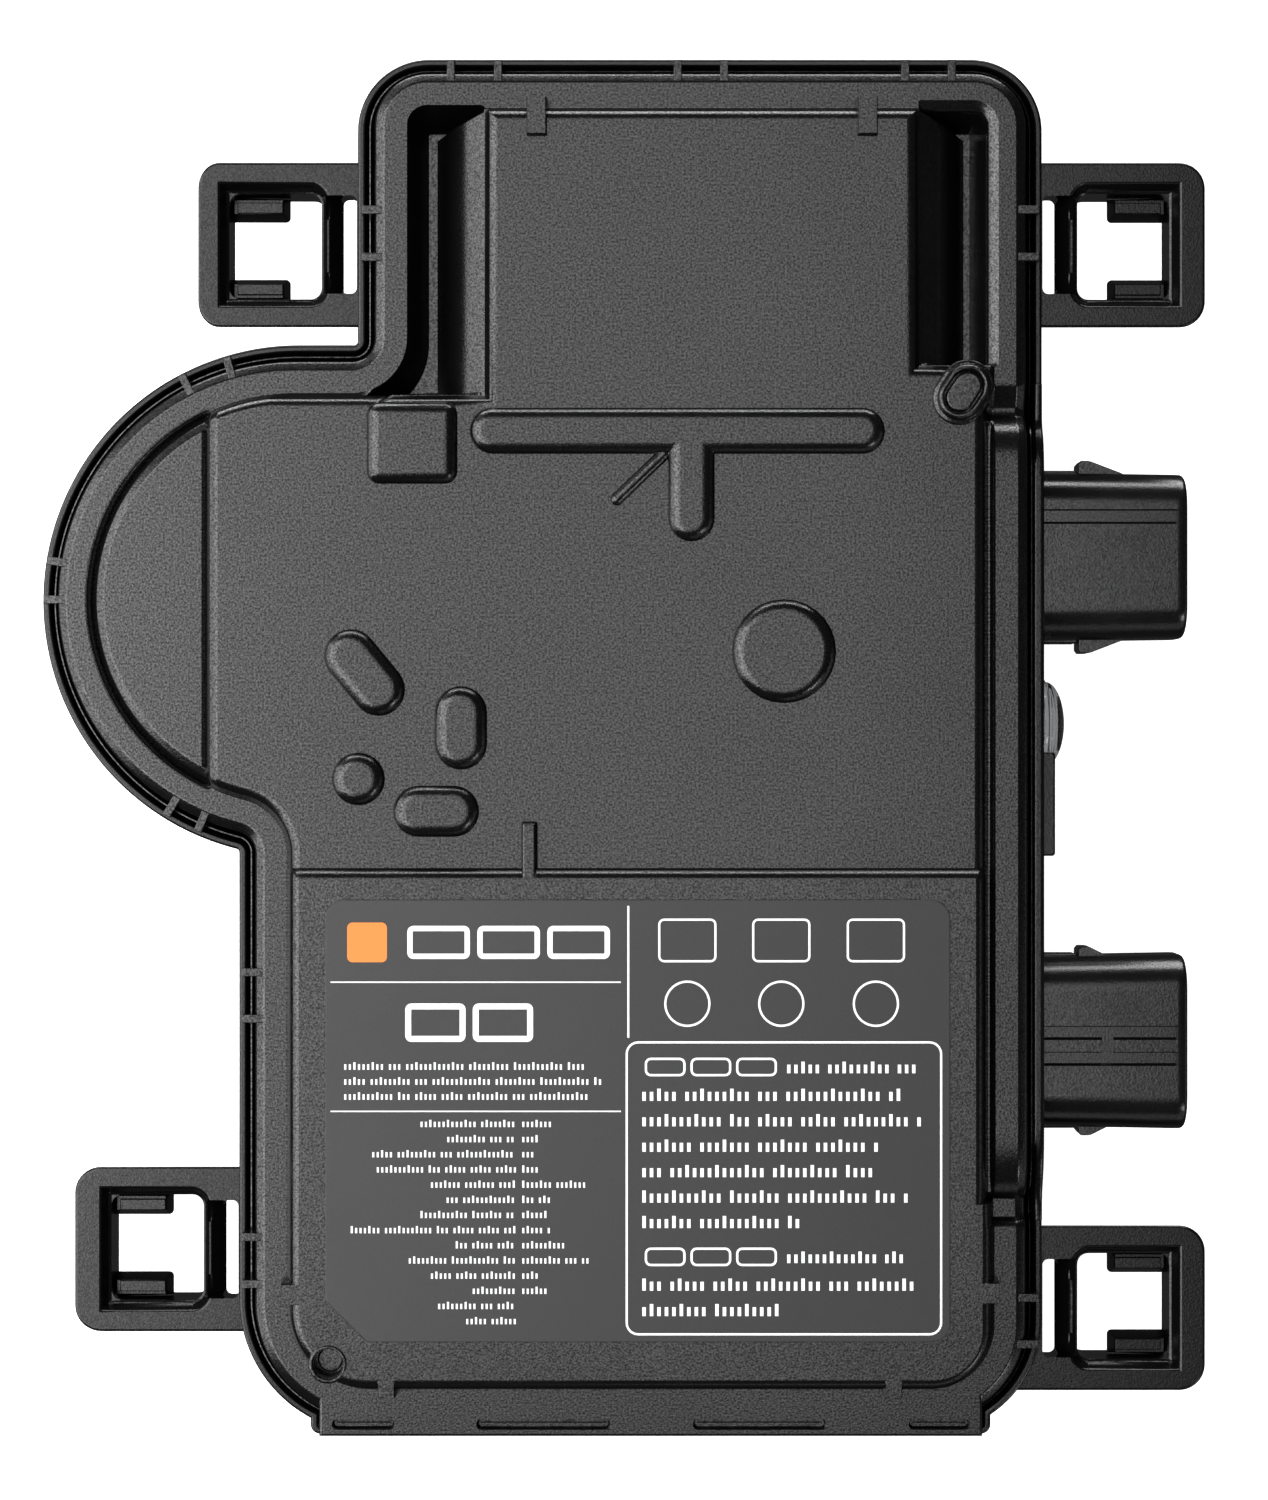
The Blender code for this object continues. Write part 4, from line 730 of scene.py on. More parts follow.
def add_rib(shape, start, inwards):
    """One rib across the groove, with rounded long edges."""
    def outline(shrink):
        points = []
        for along, across in ((RIB_NEAR, -1), (RIB_FAR, -1), (RIB_FAR, 1), (RIB_NEAR, 1)):
            side = across * (RIB_HALF - shrink)
            reach = along + (shrink if along == RIB_NEAR else 0)
            points.append((start[0] + inwards[0] * reach - inwards[1] * side,
                           start[1] + inwards[1] * reach + inwards[0] * side))
        return points

    shape.slab(outline, BAND_Z - 6.0, BAND_Z - 0.12, 0.12)


def build_lid():
    lid = Shape()
    lid.relief(lid_contours(), lid_height, lid_inside, skirt=BAND_Z - 6.4)
    for start, inwards in rib_places():
        add_rib(lid, start, inwards)
    return lid.make("lid_shell", case_polymer, ["lid"])


def build_plugs():
    """Fill port plug and vent plug with rounded rims."""
    port = Shape()
    port.slab(lambda shrink: stadium(*PORT_LINE, 2.12 - shrink, 20), DECK_Z - 1.9, DECK_Z + 1.15, 0.35)
    port.make("fill_port_cap", case_polymer, ["fill_port_plug"])
    vent = Shape()
    vent.slab(lambda shrink: circle(VENT_CENTRE, 1.95 - shrink), BAND_Z - 0.4, BAND_Z + 1.2, 0.3)
    vent.make("vent_cap", case_polymer, ["vent_plug"])


# ---------------------------------------------------------------- base housing

# Rim, as (inset, height above RIM_Z), and how far it rises along the right side
RIM = ((0, -0.55), (0.05, -0.3), (0.13, -0.13), (0.26, -0.03), (0.42, 0.0), (0.86, 0.0), (1.00, -0.05),
       (1.10, -0.16), (1.17, -0.35), (1.20, -0.6), (2.3, -6.0))
RIM_SIDE = (
    (-73.0, 0.0), (-72.95, 0.25), (-72.8, 0.4), (-70.4, 0.45), (-68.6, 0.8), (-66.6, 1.7), (-64.6, 2.55),
    (-62.6, 3.0), (-60.6, 3.2), (-58.9, 3.25), (41.4, 3.25), (43.4, 3.2), (45.0, 3.0), (46.4, 2.6),
    (47.6, 2.0), (48.6, 1.25), (49.4, 0.75), (50.4, 0.5), (51.8, 0.45), (55.8, 0.4), (55.95, 0.25),
    (56.0, 0.0),
)
RIM_WIDENING = 0.5           # the rim is this much wider along the hump
# Wall under the rim, as (inset, height above the back)
FLARE = ((0.0, 15.95), (0.02, 15.8), (0.15, 15.55), (0.4, 15.32), (0.7, 15.15), (2.7, 13.62), (2.9, 13.4),
         (3.0, 13.1), (3.35, 1.2), (3.42, 0.8), (3.6, 0.4), (3.85, 0.13), (4.2, 0.0))
INNER_INSET = 5.2
BASE_TAB_CENTRE = (TAB_CENTRE[0], BOTTOM_Y + 6.0)
BASE_TAB_HALF = (TAB_HALF[0] + 1.7, 6.0)
BASE_TAB_CORNER = 1.5


def base_inset(x, y):
    return np.maximum(case_inset(x, y), rect_inset(x, y, BASE_TAB_CENTRE, *BASE_TAB_HALF, BASE_TAB_CORNER))


def rim_height(x, y):
    lift = np.where(x > HUMP_X, profile(y, RIM_SIDE), 0)
    inset = base_inset(x, y) / (1 + RIM_WIDENING * lift / max(row[1] for row in RIM_SIDE))
    return np.maximum(RIM_Z + np.where(inset < RIM[-1][0], lift, 0) + profile(inset, RIM), LEDGE_Z)


def build_base():
    base = Shape()
    insets = firsts(RIM) + [INNER_INSET]
    contours = [(case_outline(inset), True) for inset in insets]
    for inset in insets[:-1]:
        corner = max(BASE_TAB_CORNER - inset, 0.05)
        half = (BASE_TAB_HALF[0] - inset, BASE_TAB_HALF[1] - inset)
        contours.append((rounded_rect(BASE_TAB_CENTRE, *half, corner, 6), True))
    contours += [line(RIGHT_X - 2.0, y, RIGHT_X + 0.5, y) for y in firsts(RIM_SIDE)]
    wide = [RIGHT_X - inset * (1 + RIM_WIDENING) for inset in firsts(RIM[1:-1])]
    contours += [line(x, -60.6, x, 43.4) for x in wide]
    base.relief(contours, rim_height, lambda x, y: (base_inset(x, y) > 0) & (case_inset(x, y) < INNER_INSET),
                skirt=LEDGE_Z)
    base.loft([(case_outline(inset), z) for inset, z in FLARE], caps=(False, False))
    add_back(base)
    base.slab(lambda s: rounded_rect((RIGHT_X - 3.1, -8.0), 3.1 - s, 57.0 - s, 0.6 - s * 0.5), 0.8, 16.0, 0.5)
    base.slab(lambda s: rounded_rect((BASE_TAB_CENTRE[0], BOTTOM_Y + 4.0), BASE_TAB_HALF[0] - s, 4.0 - s,
                                     BASE_TAB_CORNER - s), 13.6, 16.5, 0.4)
    base.slab(lambda s: rounded_rect((RIGHT_X + 0.5, -8.8), 1.4 - s, 8.0 - s, 0.5 - s * 0.5), 18.0,
              RIM_Z + 1.2, 0.3)
    for loop in LOOPS:
        add_loop(base, *loop)
    return base.make("base_shell", base_polymer, ["base_housing"])


BACK_INSET = 4.2
BACK_GROOVES = tuple(((-40.0, -78 + 26 * index), (44.0, -78 + 26 * index)) for index in range(6))
BACK_GROOVE_R, BACK_GROOVE_DEPTH, BACK_GROOVE_EDGE = 4.0, 0.6, 0.8


def back_height(x, y):
    """The back's face, with shallow long grooves."""
    level = np.zeros_like(x)
    for start, end in BACK_GROOVES:
        deep = BACK_GROOVE_R - segment_distance(x, y, start, end)
        level = np.maximum(level, BACK_GROOVE_DEPTH * bank(deep, BACK_GROOVE_EDGE))
    return level


def add_back(shape):
    contours = [(case_outline(BACK_INSET), True)]
    for start, end in BACK_GROOVES:
        for knot in bank_knots(0, BACK_GROOVE_EDGE):
            contours.append((stadium(start, end, BACK_GROOVE_R - knot), True))
    shape.relief(contours, back_height, lambda x, y: case_inset(x, y) > BACK_INSET, upwards=False)


# Mounting loops: case side, direction outwards, centre along Y, how much thinner the far side of the frame is
LOOPS = (
    (BOX_X, -1, 77.65, 0.6), (LOWER_X, -1, -77.7, -0.15),
    (RIGHT_X, 1, 77.6, 0.0), (RIGHT_X, 1, -86.8, 0.0),
)
# Within a loop, u runs outwards from the case side and v along it. Rectangles: centre, half sizes, corner
LOOP_HALF = 12.75
LOOP_CORNER = 4.0
LOOP_Z = BAND_Z - 6.0
SLOT = ((1.45, 0.0), 1.2, 7.6, 0.9)
BAR_U = 2.65                 # side of the latch bar towards the slot
BAR_CREST_U = 5.26           # where the bar meets the recess
WINDOW = ((13.05, 0.0), 7.15, 8.2, 1.7)
WINDOW_U = WINDOW[0][0] - WINDOW[1]          # the window's side towards the case
SEAM = 0.015                 # lines this close to the window's outline belong to the frame
MITRE = ((12.7, 0.0), 9.1, 9.8, 0.25)        # outer edge of the recess round the window, on its far side
# Recess, as (distance into the window, height above the loop's face)
RECESS = ((-1.6 - TINY, 0.0), (-1.6, 0.0), (-1.45, -0.04), (-1.3, -0.16), (-1.1, -0.5), (-0.5, -1.75),
          (-0.3, -2.0), (-0.1, -2.1), (0.0, -2.15))
FRAME_U = MITRE[0][0] + MITRE[1]
HOOKS = tuple(((15.95, sign * 6.55), 4.75, 2.05, 0.7) for sign in (-1, 1))
HOOK_Z = LOOP_Z - 4.8
HOOK_PADS = tuple(((15.65, sign * 6.35), 3.6, 0.9, 0.15) for sign in (-1, 1))
HOOK_PAD_RISE, HOOK_PAD_EDGE = 0.45, 0.2
HOOK_FLANK = 1.0             # width of the steep border round a hook's top
HOOK_DROP = 2.2
HOOK_BOTTOM_Z = HOOK_Z - 2.6
LOOP_EDGE = ((0, -0.45), (0.05, -0.25), (0.14, -0.1), (0.28, -0.02), (0.45, 0.0))
CATCH = ((4.95, 0.0), 0.38, 4.2, 0.1)        # ridge along the latch bar
CATCH_FOOT_Z, CATCH_RISE, CATCH_EDGE = LOOP_Z - 2.0, 0.35, 0.15
LOOP_BOTTOM_Z = 8.0
ARM_BOTTOM_Z = 13.2
ARM_END_U = 2.95             # the thin arms end here and the deep frame begins
ARM_START_U = -0.8
LOOP_ROOT = -5.0             # how far in the arms reach where the case's corner curves away
LOOP_DRAFT = 1.7             # how much smaller the loop is at its bottom


def loop_outline_inset(u, v):
    """Distance inwards from the loop's outline; the side towards the case is left open."""
    return rect_inset(u, v, (LOOP_REACH / 2 - 10, 0), LOOP_REACH / 2 + 10, LOOP_HALF, LOOP_CORNER)


def loop_height(u, v):
    """The upper side: face, recess, latch bar with its ridge, hooks with their pads."""
    level = LOOP_Z + profile(loop_outline_inset(u, v), LOOP_EDGE)
    window = rect_inset(u, v, *WINDOW)
    sunk = np.where(u < WINDOW[0][0], window, rect_inset(u, v, *MITRE) + RECESS[1][0])
    level = np.where(window < SEAM, np.minimum(level, LOOP_Z + profile(sunk, RECESS)), level)
    bar = (u > BAR_U - 0.02) & (window < SEAM) & (u < WINDOW_U + 0.02) & (np.abs(v) < SLOT[2])
    level = np.where(bar, np.minimum(level, LOOP_Z - 4.4 + 1.13 * (u - BAR_U)), level)
    for hook in HOOKS:
        deep = rect_inset(u, v, *hook)
        hook_level = HOOK_Z - HOOK_DROP * (1 - bank(deep, HOOK_FLANK, FLANK))
        level = np.where((window > SEAM) & (deep >= -0.01), hook_level, level)
    for pad in HOOK_PADS:
        deep = rect_inset(u, v, *pad)
        pad_level = HOOK_Z + HOOK_PAD_RISE * bank(deep, HOOK_PAD_EDGE)
        level = np.where((window > SEAM) & (deep > -0.001), pad_level, level)
    deep = rect_inset(u, v, *CATCH)
    catch_level = CATCH_FOOT_Z + CATCH_RISE * bank(deep, CATCH_EDGE)
    return np.where(deep > -0.001, np.maximum(level, catch_level), level)


def loop_bottom(u, v):
    """The underside: thin arms next to the case, a deep frame, thin hooks."""
    frame_level = np.where(u < ARM_END_U, ARM_BOTTOM_Z, LOOP_BOTTOM_Z)
    return np.where(rect_inset(u, v, *WINDOW) > SEAM, HOOK_BOTTOM_Z, frame_level)


def loop_inside(u, v, beyond):
    """True inside the loop; beyond is True outside the case outline, where the arms reach further in."""
    window = rect_inset(u, v, *WINDOW) > 0
    hooked = np.zeros(u.shape, bool)
    for piece in HOOKS + (CATCH,):
        hooked |= rect_inset(u, v, *piece) > 0
    solid = (loop_outline_inset(u, v) > 0) & ((u > ARM_START_U) | beyond) & ~(rect_inset(u, v, *SLOT) > 0)
    return solid & (~window | hooked)


def add_loop(shape, side, outwards, middle, trim):
    """One snap loop: arms and frame round a window with hooks, a latch bar and the slot behind it."""
    contours = []
    for knot in firsts(LOOP_EDGE) + [LOOP_EDGE[-1][0] + TINY]:
        points = arc((LOOP_REACH - LOOP_CORNER, LOOP_CORNER - LOOP_HALF), LOOP_CORNER - knot, -90, 0, 10)
        points += arc((LOOP_REACH - LOOP_CORNER, LOOP_HALF - LOOP_CORNER), LOOP_CORNER - knot, 0, 90, 10)
        contours.append(([(LOOP_ROOT, -LOOP_HALF + knot)] + points + [(LOOP_ROOT, LOOP_HALF - knot)], False))
    contours.append(line(ARM_START_U, -LOOP_HALF, ARM_START_U, LOOP_HALF))
    edge = [((x - side) * outwards, y - middle) for x, y in case_outline(0.6)]
    edge = [point for point in edge if LOOP_ROOT - 3 < point[0] < 0.5 and abs(point[1]) < LOOP_HALF + 2]
    contours.append((edge, False))
    contours += rect_lines(*SLOT, (0.0,))
    contours += rect_lines(*WINDOW, firsts(RECESS) + [0.02])
    contours += rect_lines(*MITRE, [knot - RECESS[0][0] for knot in firsts(RECESS)])
    for hook in HOOKS:
        contours += rect_lines(*hook, bank_knots(0, HOOK_FLANK, FLANK))
    for pad in HOOK_PADS:
        contours += rect_lines(*pad, bank_knots(0, HOOK_PAD_EDGE))
    contours += rect_lines(*CATCH, (0.0, 0.02, 0.06, CATCH_EDGE))
    for u in (BAR_U + 0.01, 3.8, BAR_CREST_U, WINDOW_U - 0.01):
        contours.append(line(u, -SLOT[2], u, SLOT[2]))
    for v in (-SLOT[2], SLOT[2]):
        for gap in (-0.02, 0.02):
            contours.append(line(BAR_U, v + gap, WINDOW_U, v + gap))

    def inside(u, v):
        return loop_inside(u, v, (u > LOOP_ROOT) & (case_inset(side + outwards * u, middle + v) < 0.6))

    upper = Shape().relief(contours, loop_height, inside, skirt=LOOP_BOTTOM_Z)
    lower = Shape().relief(contours, loop_bottom, inside, upwards=False)
    for piece in (upper, lower):
        first = len(shape.points)
        for u, v, z in piece.points:
            if z < ARM_BOTTOM_Z + 0.01:
                draft = LOOP_DRAFT * max(0, 1 - loop_outline_inset(np.array(u), np.array(v)) / 4)
                u, v = u * (1 - draft / LOOP_REACH), v * (1 - draft / LOOP_HALF)
            if z < LOOP_BOTTOM_Z + 0.01:
                z = float(loop_bottom(np.array(u), np.array(v)))
            u -= trim * max(0, (u - FRAME_U) / (LOOP_REACH - FRAME_U))
            shape.points.append((side + outwards * u, middle + v, z))
        for face in piece.faces:
            turned = face if outwards > 0 else face[::-1]
            shape.faces.append(tuple(first + index for index in turned))


# ---------------------------------------------------------------- connectors

SHROUD_WALL = 1.8
SHROUD_R = 5.2
SOCKET_FLOOR = 17.0          # depth of the socket behind its mouth
COLLAR_LENGTH = 6.1
COLLAR = 0.4
STRIP_DEPTH = 0.7
STRIP_END = 1.6
BREAK = (9.1, 10.8)          # where the rib between two strips is interrupted, from the case side


def shroud_section(centre, half_y, half_z, shrink, strips, depth, bridge):
    """Cross-section of a shroud: strips sunk into its upper face by depth, the ribs between by bridge."""
    radius = SHROUD_R - shrink
    pivot_y, pivot_z = half_y - SHROUD_R, half_z - SHROUD_R
    points = arc((centre[0] + pivot_y, centre[1] - pivot_z), radius, -90, 0, 16)
    points += arc((centre[0] + pivot_y, centre[1] + pivot_z), radius, 0, 90, 16)
    top = centre[1] + half_z - shrink
    edges = [edge for strip in strips for edge in strip]
    for low, high in sorted(strips, reverse=True):
        right, left = [top - (bridge if min(edges) < edge < max(edges) else 0) for edge in (high, low)]
        points += [(centre[0] + high, right), (centre[0] + high - 0.2, top - depth),
                   (centre[0] + low + 0.4, top - depth), (centre[0] + low, left)]
    points += arc((centre[0] - pivot_y, centre[1] + pivot_z), radius, 90, 180, 16)
    return points + arc((centre[0] - pivot_y, centre[1] - pivot_z), radius, 180, 270, 16)


def build_connector(node, shift, half_y, taper, strips, ramp_length, ramp_rise):
    """Shroud with a collar, an open socket, sunk strips and two latch ramps."""
    low, high = node_box(node)
    centre = (round((low.y + high.y) / 2, 1) + shift, (low.z + high.z) / 2)
    half_z = (high.z - low.z) / 2
    start, end = RIGHT_X + 0.3, high.x
    shape = Shape()

    def ring(x, shrink=0.0, depth=0.0, bridge=0.0):
        spread = taper * (x - start) / (end - start)
        outline = shroud_section(centre, half_y + spread, half_z, shrink, strips, depth, bridge)
        return outline, x

    rings = [ring(start, 1.5), ring(start, 0.0, STRIP_DEPTH)]
    for x, bridges in zip(BREAK, ((0.0, STRIP_DEPTH), (STRIP_DEPTH, 0.0))):
        rings.append(ring(start + x, 0.0, STRIP_DEPTH, bridges[0]))
        rings.append(ring(start + x + 0.1, 0.0, STRIP_DEPTH, bridges[1]))
    rings += [ring(end - STRIP_END - 0.25, 0.0, STRIP_DEPTH), ring(end - STRIP_END, 0.0, 0.0)]
    for turn in range(1, 7):
        angle = radians(15 * turn)
        rings.append(ring(end - 0.9 * (1 - sin(angle)), 0.9 * (1 - cos(angle))))
    rings.append(ring(end, SHROUD_WALL - 0.3))
    rings.append(ring(end - 0.3, SHROUD_WALL))
    shape.loft(rings, "X", caps=(True, False))
    inner = [ring(end - 0.3, SHROUD_WALL), ring(end - SOCKET_FLOOR, SHROUD_WALL)]
    shape.loft(inner, "X", caps=(False, True))
    ramp_start = start + COLLAR_LENGTH
    shape.slab(lambda s: rounded_rect((start + COLLAR_LENGTH / 2, centre[0]), COLLAR_LENGTH / 2 - s,
                                      half_y + COLLAR - s, 0.6 - s), centre[1] - 2.5, centre[1] + 2.5, 0.3)
    for direction in (-1, 1):
        foot = centre[0] + direction * (half_y - 0.8)
        tip = centre[0] + direction * (half_y + ramp_rise)
        outline = [(ramp_start, foot), (ramp_start, tip - direction * 0.5), (ramp_start + 0.4, tip),
                   (ramp_start + 1.5, tip), (ramp_start + 2.0, tip - direction * 0.1),
                   (ramp_start + ramp_length, centre[0] + direction * half_y),
                   (ramp_start + ramp_length + 1.4, foot)]
        if direction > 0:
            outline = outline[::-1]
        middle = (ramp_start + 2.2, (foot + tip) / 2)

        def shrunk(amount, outline=outline, middle=middle):
            return [(x + (middle[0] - x) * amount * 0.25, y + (middle[1] - y) * amount * 0.5)
                    for x, y in outline]

        shape.slab(shrunk, centre[1] - 3.0, centre[1] + 3.0, 0.2)
    return shape.make(node.replace("_housing", "_shroud"), connector_polymer, [node])


LENS_RISE = 2.9


def build_lens():
    """Clear dome with a flange, a step and a slightly flattened nose."""
    centre = ((LENS_LOW.y + LENS_HIGH.y) / 2, (LENS_LOW.z + LENS_HIGH.z) / 2)
    radius = (LENS_HIGH.z - LENS_LOW.z) / 2
    start = RIGHT_X + 0.3
    rings = [(3.6, LENS_LOW.x), (3.6, start), (radius - 0.2, start), (radius, start + 0.2),
             (radius, start + 0.9), (radius - 0.1, start + 1.05), (radius - 0.3, start + 1.1),
             (radius - 0.4, start + 1.2)]
    for step in range(1, 12):
        angle = radians(8 * step)
        rings.append(((radius - 0.4) * cos(angle), start + 1.2 + LENS_RISE * sin(angle)))
    shape = Shape()
    shape.loft([(circle(centre, size), x) for size, x in rings], "X")
    return shape.make("status_dome", clear_plastic, ["status_lens"])


# ---------------------------------------------------------------- label

LABEL_SHRINK = 0.985         # the film keeps a narrow margin inside the plate's outline
LABEL_CLIP = 6.3
CLIP_R = 1.2
LABEL_CORNER = 2.9
PRINT_LOW, PRINT_HIGH = TOP_Z - 0.01, TOP_Z + 0.03
INK_LINE = 0.32
# Ticks, as shares of their row's height: width, pitch, gap after a group, height of tall and short ones
TICK_WIDTH, TICK_PITCH, GROUP_GAP, TICK_TALL, TICK_SHORT = 0.24, 0.52, 0.4, 0.84, 0.62


def label_outline(shrink):
    """Round corners, and one corner clipped."""
    low_x, low_y = LABEL_LOW.x * LABEL_SHRINK + shrink, LABEL_LOW.y * LABEL_SHRINK + shrink
    high_x, high_y = LABEL_HIGH.x * LABEL_SHRINK - shrink, LABEL_HIGH.y * LABEL_SHRINK - shrink
    corner = LABEL_CORNER - shrink
    points = arc((high_x - corner, low_y + corner), corner, -90, 0, 8)
    points += arc((high_x - corner, high_y - corner), corner, 0, 90, 8)
    points += arc((low_x + corner, high_y - corner), corner, 90, 180, 8)
    points += arc((low_x + CLIP_R, low_y + LABEL_CLIP + 0.5), CLIP_R, 180, 225, 4)
    points += arc((low_x + LABEL_CLIP + 0.5, low_y + CLIP_R), CLIP_R, 225, 270, 4)
    return points


def build_label():
    plate = Shape()
    plate.slab(label_outline, LABEL_LOW.z, LABEL_HIGH.z, 0.12)
    plate.make("label_film_plate", label_film, ["label_plate"])


def spot(across, down):
    """World position of a point on the label, from its upper left corner."""
    return (LABEL_LOW.x + across) * LABEL_SHRINK, (LABEL_HIGH.y - down) * LABEL_SHRINK


def bar(shape, left, right, down, height):
    """A printed bar, lying on the film."""
    x0, y0 = spot(left, down + height / 2)
    x1, y1 = spot(right, down - height / 2)
    outline = [(x0, y0), (x1, y0), (x1, y1), (x0, y1)]
    shape.loft([(outline, PRINT_LOW), (outline, PRINT_HIGH)])


def greeked(shape, left, right, down, height, seed):
    """Groups of plain upright ticks in the place of words; their counts follow a fixed sequence."""
    at = left
    step = seed
    while at < right - 0.6:
        step = (step * 7 + 3) % 11
        for tick in range(3 + step // 2 * 2):
            if at + TICK_WIDTH * height > right:
                break
            tall = (tick * 5 + step) % 4 == 0
            bar(shape, at, at + TICK_WIDTH * height, down - 0.11 * height * tall,
                (TICK_TALL if tall else TICK_SHORT) * height)
            at += TICK_PITCH * height
        at += GROUP_GAP * height


def boxes(shape, left, right, down, height, count, thickness):
    """A row of hollow boxes in the place of large lettering."""
    pitch = (right - left) / count
    for index in range(count):
        centre = spot(left + pitch * (index + 0.5), down)
        half_u = pitch * 0.44
        hollow(shape, lambda s: rounded_rect(centre, half_u - s, height / 2 - s, 0.9 - s * 0.9, 4), thickness)


def hollow(shape, outline_at, thickness):
    """A printed outline: a band between two outlines."""
    outer, inner = outline_at(0.0), outline_at(thickness)
    first = len(shape.points)
    count = len(outer)
    for outline, z in ((outer, PRINT_LOW), (outer, PRINT_HIGH), (inner, PRINT_HIGH), (inner, PRINT_LOW)):
        shape.points += [(x, y, z) for x, y in outline]
    for ring in range(3):
        for index in range(count):
            a = first + ring * count + index
            b = first + ring * count + (index + 1) % count
            shape.faces.append((a, b, b + count, a + count))


# Placeholder lines of the label: where each row starts and ends at the left, how far down each row stands
# and how long it is at the right
SPEC_LINES = ((14.6, 34.6), (18.7, 33.0), (7.2, 33.0), (7.9, 33.0), (16.2, 40.2), (18.6, 34.8), (14.6, 34.2),
              (3.9, 34.8), (20.0, 37.2), (12.8, 40.6), (16.2, 33.2), (22.6, 34.0), (17.3, 31.0), (21.6, 31.0))
FRAME_LINES = ((30.1, 40.2), (34.0, 43.8), (37.9, 37.2), (41.8, 36.2), (45.7, 41.0), (49.6, 25.0),
               (59.2, 41.6), (63.1, 21.0))


def build_print():
    white = Shape()
    bar(white, 46.3, 46.6, 11.0, 20.2)
    for down in (12.6, 32.4):
        bar(white, 0.8, 45.3, down, 0.2)
    boxes(white, 12.0, 44.2, 6.5, 5.0, 3, 0.8)
    boxes(white, 11.7, 32.4, 18.8, 5.8, 2, 0.9)
    for row in range(3):
        greeked(white, 2.9, (40.2, 42.6, 41.0)[row], 25.6 + 2.3 * row, 1.35, row + 2)
    for row, (left, right) in enumerate(SPEC_LINES):
        down = 34.4 + 2.325 * row
        greeked(white, left, 29.3, down, 1.3, row + 1)
        if right > 31.2:
            greeked(white, 30.2, right, down, 1.3, row + 4)
    centre = spot(70.3, 44.2)
    hollow(white, lambda s: rounded_rect(centre, 23.9 - s, 22.2 - s, 1.9 - s, 6), INK_LINE)
    for down, right in ((25.6, 91.0), (54.7, 89.0)):
        boxes(white, 48.6, 69.6, down, 2.8, 3, 0.34)
        greeked(white, 70.8, right, down + 0.3, 2.1, int(right))
    for row, (down, length) in enumerate(FRAME_LINES):
        greeked(white, 48.6, 48.6 + length, down, 2.2, row + 3)
    for across in (55.5, 69.9, 84.4):
        box_centre = spot(across, 6.2)
        hollow(white, lambda s, c=box_centre: rounded_rect(c, 4.4 - s, 3.3 - s, 0.9 - s, 4), INK_LINE)
        ring_centre = spot(across, 15.9)
        hollow(white, lambda s, c=ring_centre: arc(c, 3.5 - s, 0, 350, 35), INK_LINE)
    white.make("label_print_white", print_white)
    orange = Shape()
    mark_outline = rounded_rect(spot(6.4, 6.5), 3.0, 3.0, 0.8, 6)
    orange.loft([(mark_outline, PRINT_LOW), (mark_outline, PRINT_HIGH)])
    orange.make("label_print_orange", print_orange)


# ---------------------------------------------------------------- studio

CAMERA_X, CAMERA_Y = 1.4, -0.5
CAMERA_HEIGHT = 542.0        # above the object's back
CAMERA_LENS = 81.35


def build_camera():
    data = bpy.data.cameras.new("camera")
    data.sensor_fit = "VERTICAL"
    data.sensor_height = 36.0
    data.lens = CAMERA_LENS
    data.clip_start = 0.01
    camera = bpy.data.objects.new("camera", data)
    camera.location = Vector((CAMERA_X, CAMERA_Y, CAMERA_HEIGHT)) * MM
    bpy.context.scene.collection.objects.link(camera)
    bpy.context.scene.camera = camera


def panel(name, start, end, width, radiance):
    """A soft panel that spans two edges, given by their middles; width is the length of the edges."""
    start, end = Vector(start), Vector(end)
    middle = (start + end) / 2
    along = (end - start).normalized()
    facing = (Vector((0, 0, 0.02)) - middle)
    facing = (facing - along * facing.dot(along)).normalized()
    data = bpy.data.lights.new(name, "AREA")
    data.shape = "RECTANGLE"
    data.size, data.size_y = (end - start).length, width
    data.energy = radiance * pi * data.size * data.size_y
    lamp = bpy.data.objects.new(name, data)
    side = (-facing).cross(along)
    lamp.matrix_world = Matrix((along, side, -facing)).transposed().to_4x4()
    lamp.location = middle
    lamp.visible_camera = False
    bpy.context.scene.collection.objects.link(lamp)


ROOM = 4.0                   # metres from the middle to the pale walls
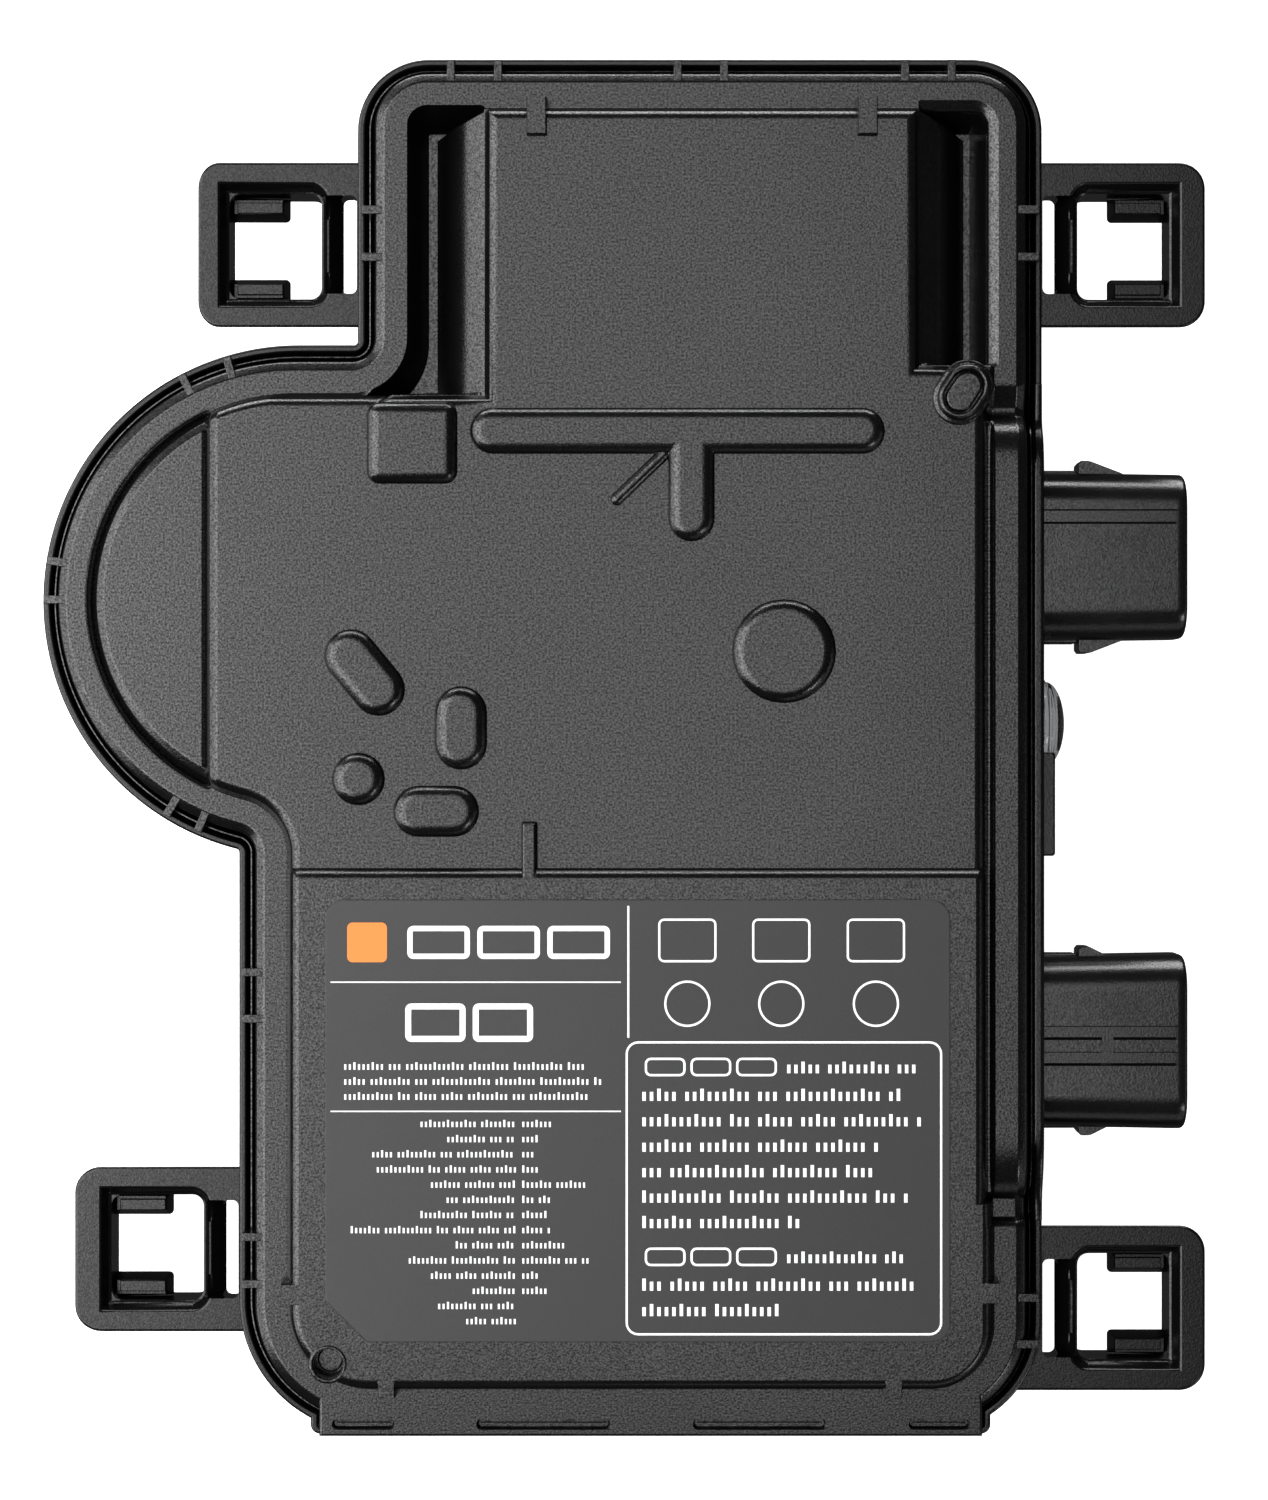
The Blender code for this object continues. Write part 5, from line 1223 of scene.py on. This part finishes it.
# Lights: name, the middles of two edges in metres, length of those edges, radiance
PANELS = (
    ("overhead", (-0.33, 0.1, 1.6), (0.30, 0.1, 1.6), 1.14, 2.3),
    ("left_high", (-0.34, 0, 1.6), (-1.3, 0, 0.85), 1.6, 5.4),
    ("left_low", (-1.3, 0, 0.84), (-1.5, 0, -0.02), 1.8, 3.2),
    ("upper_strip", (0, 1.35, 0.38), (0, 1.3, -0.35), 1.7, 7.0),
    ("corner_glint", (0.70, -0.70, 0.85), (0.90, -0.90, 0.66), 0.35, 6.0),
    ("fill_low_right", (0.85, -0.85, 0.62), (1.0, -1.0, 0.0), 2.6, 0.4),
    ("fill_upper_left", (-0.85, 0.85, 0.75), (-1.05, 1.05, 0.1), 1.4, 0.8),
)


def build_studio():
    """Pale floor with pale walls round it, seen only by the camera, a dim world and the panels."""
    mesh = bpy.data.meshes.new("floor")
    corners = [(-ROOM, -ROOM), (ROOM, -ROOM), (ROOM, ROOM), (-ROOM, ROOM)]
    points = [(x, y, z) for z in (-0.0003, ROOM) for x, y in corners]
    walls = [(side, (side + 1) % 4, (side + 1) % 4 + 4, side + 4) for side in range(4)]
    mesh.from_pydata(points, [], [(0, 1, 2, 3)] + walls)
    material = bpy.data.materials.new("floor")
    material.use_nodes = True
    shader = material.node_tree.nodes["Principled BSDF"]
    shader.inputs["Base Color"].default_value = (0.86, 0.86, 0.86, 1)
    shader.inputs["Roughness"].default_value = 0.9
    shader.inputs["Emission Color"].default_value = (1, 1, 1, 1)
    shader.inputs["Emission Strength"].default_value = 1.0
    mesh.materials.append(material)
    ground = bpy.data.objects.new("floor", mesh)
    ground.visible_glossy = False
    ground.visible_diffuse = False
    ground.visible_shadow = False
    bpy.context.scene.collection.objects.link(ground)
    world = bpy.data.worlds.new("studio")
    world.use_nodes = True
    world.node_tree.nodes["Background"].inputs["Color"].default_value = (0.9, 0.9, 0.9, 1)
    world.node_tree.nodes["Background"].inputs["Strength"].default_value = 0.05
    bpy.context.scene.world = world
    for row in PANELS:
        panel(*row)
    bpy.context.scene.view_settings.view_transform = "Standard"


dress_inner_nodes()
build_lid()
build_plugs()
build_base()
build_connector("dc_connector_housing", 0.5, 13.1, -0.3, ((4.8, 7.1),), 6.7, 1.9)
build_connector("ac_connector_housing", -0.7, 13.2, 0.4, ((0.6, 2.8), (-3.4, -1.2)), 4.8, 1.5)
build_lens()
build_label()
build_print()
build_camera()
build_studio()
